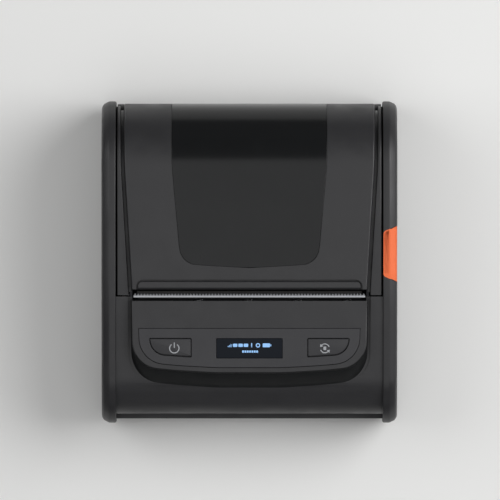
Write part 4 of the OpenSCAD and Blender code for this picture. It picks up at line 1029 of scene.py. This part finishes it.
def tearTree():   # ground teeth along the edge of a blade
    tree, g = newTree("tear teeth", [
        ("Teeth", "Int", 75), ("Pitch", "Float", 0.0015), ("Tooth Length", "Float", 0.0009),
        ("Thickness", "Float", 0.0008), ("Blade Depth", "Float", 0.0016)])
    start = times(tree, calc(tree, g["Teeth"], "SUBTRACT", 1.0), times(tree, g["Pitch"], -0.5))
    line = add(tree, "GeometryNodeMeshLine", {"Count": g["Teeth"], "Start Location": vector(tree, start),
                                              "Offset": vector(tree, g["Pitch"])})
    tooth = add(tree, "GeometryNodeMeshCone", {"Vertices": 4, "Radius Bottom": 0.7071, "Depth": 1.0})
    tooth = moved(tree, tooth, Rotation=(0, 0, math.radians(45)))
    tooth = moved(tree, tooth, Rotation=(math.radians(-90), 0, 0))
    tooth = moved(tree, tooth, Scale=vector(tree, g["Pitch"], g["Tooth Length"], g["Thickness"]))
    row = add(tree, "GeometryNodeInstanceOnPoints", {"Points": line, "Instance": tooth})
    blade = add(tree, "GeometryNodeMeshCube",
                {"Size": vector(tree, times(tree, g["Teeth"], g["Pitch"]), g["Blade Depth"], g["Thickness"])})
    blade = moved(tree, blade, Translation=vector(tree, y=times(tree, g["Blade Depth"], -0.5)))
    return placed(tree, g, [row, blade])


def joined(obj, others):   # adds other meshes to a piece, as they are
    bm = bmesh.new()
    bm.from_mesh(obj.data)
    for other in others:
        bm.from_mesh(other.data)
        bpy.data.objects.remove(other)
    bm.to_mesh(obj.data)
    bm.free()
    return obj


screws, springs, tear = screwTree(), springTree(), tearTree()


def screwRow(name, points, ways, d, long, finish):   # head, recess and thread are shares of the diameter
    obj = grown(name, screws, points, ways, {
        "Head Radius": d * 0.95, "Head Height": d * 0.68, "Shank Radius": d * 0.5, "Shank Length": long,
        "Recess Width": d * 0.26, "Recess Depth": d * 0.34, "Thread Pitch": d * 0.34,
        "Material": finishes[finish]}, 30)
    return softenEdges(obj, 0.00012, 2, 60)


def onBothSides(points, ways):
    return [[(s * x, y, z) for s in (1, -1) for x, y, z in marks] for marks in (points, ways)]


bayY = 0.030
screwPlaces = {   # node: (places on the right, way of the head, diameter, length, finish, slot)
    "case_screws": ([(0.0560, -0.0695, 0.0046)], (0, 0, -1), 0.0026, 0.0288, "darkScrew", "dark_screw"),
    "mech_screws": ([(0.0520, -0.0114, 0.0372)], (0, 0, 1), 0.0026, 0.0069, "steel", "steel"),
    "board_screws": ([(0.0510, -0.0176, 0.0296)], (0, 0, 1), 0.0020, 0.0049, "steel", "steel"),
    "cheek_screws": ([(0.0633, bayY - 0.022, 0.0082), (0.0633, hinge.y - 0.008, 0.0092),
                      (0.0633, -caseFront + 0.0065, casing["split"] - 0.005)], (-1, 0, 0), 0.0026, 0.0055,
                     "darkScrew", "dark_screw"),
}
for node, (places, way, d, long, finish, slotName) in screwPlaces.items():
    points, ways = onBothSides(places, [way] * len(places))
    fit(screwRow(node + "_set", points, ways, d, long, finish), "case", slotName, node)
springPlaces = {   # node: (places, ways, coil radius, wire radius, length, turns)
    "hinge_springs": (*onBothSides([(0.0403, hinge.y, hinge.z)], [(1, 0, 0)]), 0.0035, 0.0005, 0.0090, 7.0),
    "head_springs": ([(x, -0.01845, 0.0545) for x in (-0.025, -0.00067, 0.02367, 0.048)], [(0, -1, 0)] * 4,
                     0.0018, 0.0003, 0.0034, 4.5),
    "release_spring": ([(0.06725, releaseY + 0.0015, 0.0397)], [(0, 0, 1)], 0.0010, 0.0002, 0.0107, 12.0),
}
for node, (places, ways, r, wireR, long, turns) in springPlaces.items():
    coil = grown(node + "_coils", springs, places, ways, {
        "Coil Radius": r, "Wire Radius": wireR, "Length": long, "Turns": turns, "Material": finishes["steel"]}, 60)
    fit(coil, "case", "steel", node)
    if node == "release_spring":
        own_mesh(coil)
tearSettings = {"teeth": 75, "half": 0.0567, "toothLong": 0.0012, "thick": 0.0008, "blade": 0.0008, "root": -0.0001}
t = tearSettings
blade = grown("tear_blade", tear, [(0, tearY + t["root"], deckBackH - 0.0003)], [(0, 0, 1)], {
    "Teeth": t["teeth"], "Pitch": 2 * t["half"] / t["teeth"], "Tooth Length": t["toothLong"],
    "Thickness": t["thick"], "Blade Depth": t["blade"], "Material": finishes["tearSteel"]}, 20)
joined(blade, [block("foot", (-0.0545, tearY - 0.0009, 0.0645), (0.0545, tearY - 0.0003, deckBackH - 0.0002),
                     finishes["tearSteel"])])
fit(blade, "case", "steel", "tear_bar")
print("screws, springs and tear bar made")

# ---- floor, light and camera
def seen(tree):   # 1 where a ray is the camera's, a mirror's or one through glass
    path = tree.nodes.new("ShaderNodeLightPath")
    value = path.outputs["Is Camera Ray"]
    for ray in ("Is Glossy Ray", "Is Transmission Ray"):
        value = add(tree, "ShaderNodeMath", {0: value, 1: path.outputs[ray]}, operation="MAXIMUM")
    return value


def stage():
    floorMat, tree, shader, coords = newMaterial("floor")
    pale = blendColours(tree, noise(tree, coords, 3, 2), *(shade(lightSettings["floor"], k) for k in (0.985, 1.0)))
    bounce = lightSettings["floorBounce"]   # the object's own sides see a darker floor
    give(tree, shader, {"Base Color": blendColours(tree, seen(tree), (bounce, bounce, bounce, 1), pale),
                        "Roughness": 0.9})
    size = 3.0
    floor = makeMesh("floor", [(-size, -size, 0), (size, -size, 0), (size, size, 0), (-size, size, 0)],
                     [(0, 1, 2, 3)], floorMat, tidy=False)
    world = bpy.data.worlds.new("studio")
    scene.world = world
    world.use_nodes = True
    tree = world.node_tree
    back = next(n for n in tree.nodes if n.type == "BACKGROUND")
    direct = tree.nodes.new("ShaderNodeLightPath").outputs["Is Camera Ray"]
    give(tree, back, {"Color": (1, 1, 1, 1), "Strength": ramp(
        tree, direct, 0, 1, lightSettings["world"], lightSettings["backdrop"])})


def lamp(name, place, target, size, power):
    data = bpy.data.lights.new(name, "AREA")
    data.shape, data.size, data.energy = "DISK", size, power
    obj = bpy.data.objects.new(name, data)
    scene.collection.objects.link(obj)
    obj.location = place
    obj.rotation_euler = (Vector(target) - Vector(place)).to_track_quat("-Z", "Y").to_euler()


stage()
for name, place, targetHeight, size in (
        ("overhead", (0, -0.6, 2.4), 0, 2.2), ("key", (0.85, 0.3, 1.0), 0.05, 1.0),
        ("left", (-0.85, 0.25, 1.0), 0.05, 1.0), ("right", (1.3, 0.0, 0.75), 0.04, 1.2),
        ("back", (0, 1.1, 0.3), 0.03, 1.2)):
    lamp(name, place, (0, 0, targetHeight), size, lightSettings[name])

view = bpy.data.cameras.new("camera")
view.sensor_fit, view.sensor_width = "HORIZONTAL", 36
view.lens = 36 * (cameraSettings["height"] - cameraSettings["lidHeight"]) / cameraSettings["acrossPicture"]
view.clip_end = 20
eye = bpy.data.objects.new("camera", view)
scene.collection.objects.link(eye)
eye.location = (*cameraSettings["middle"], cameraSettings["height"])
scene.camera = eye
print("stage set")
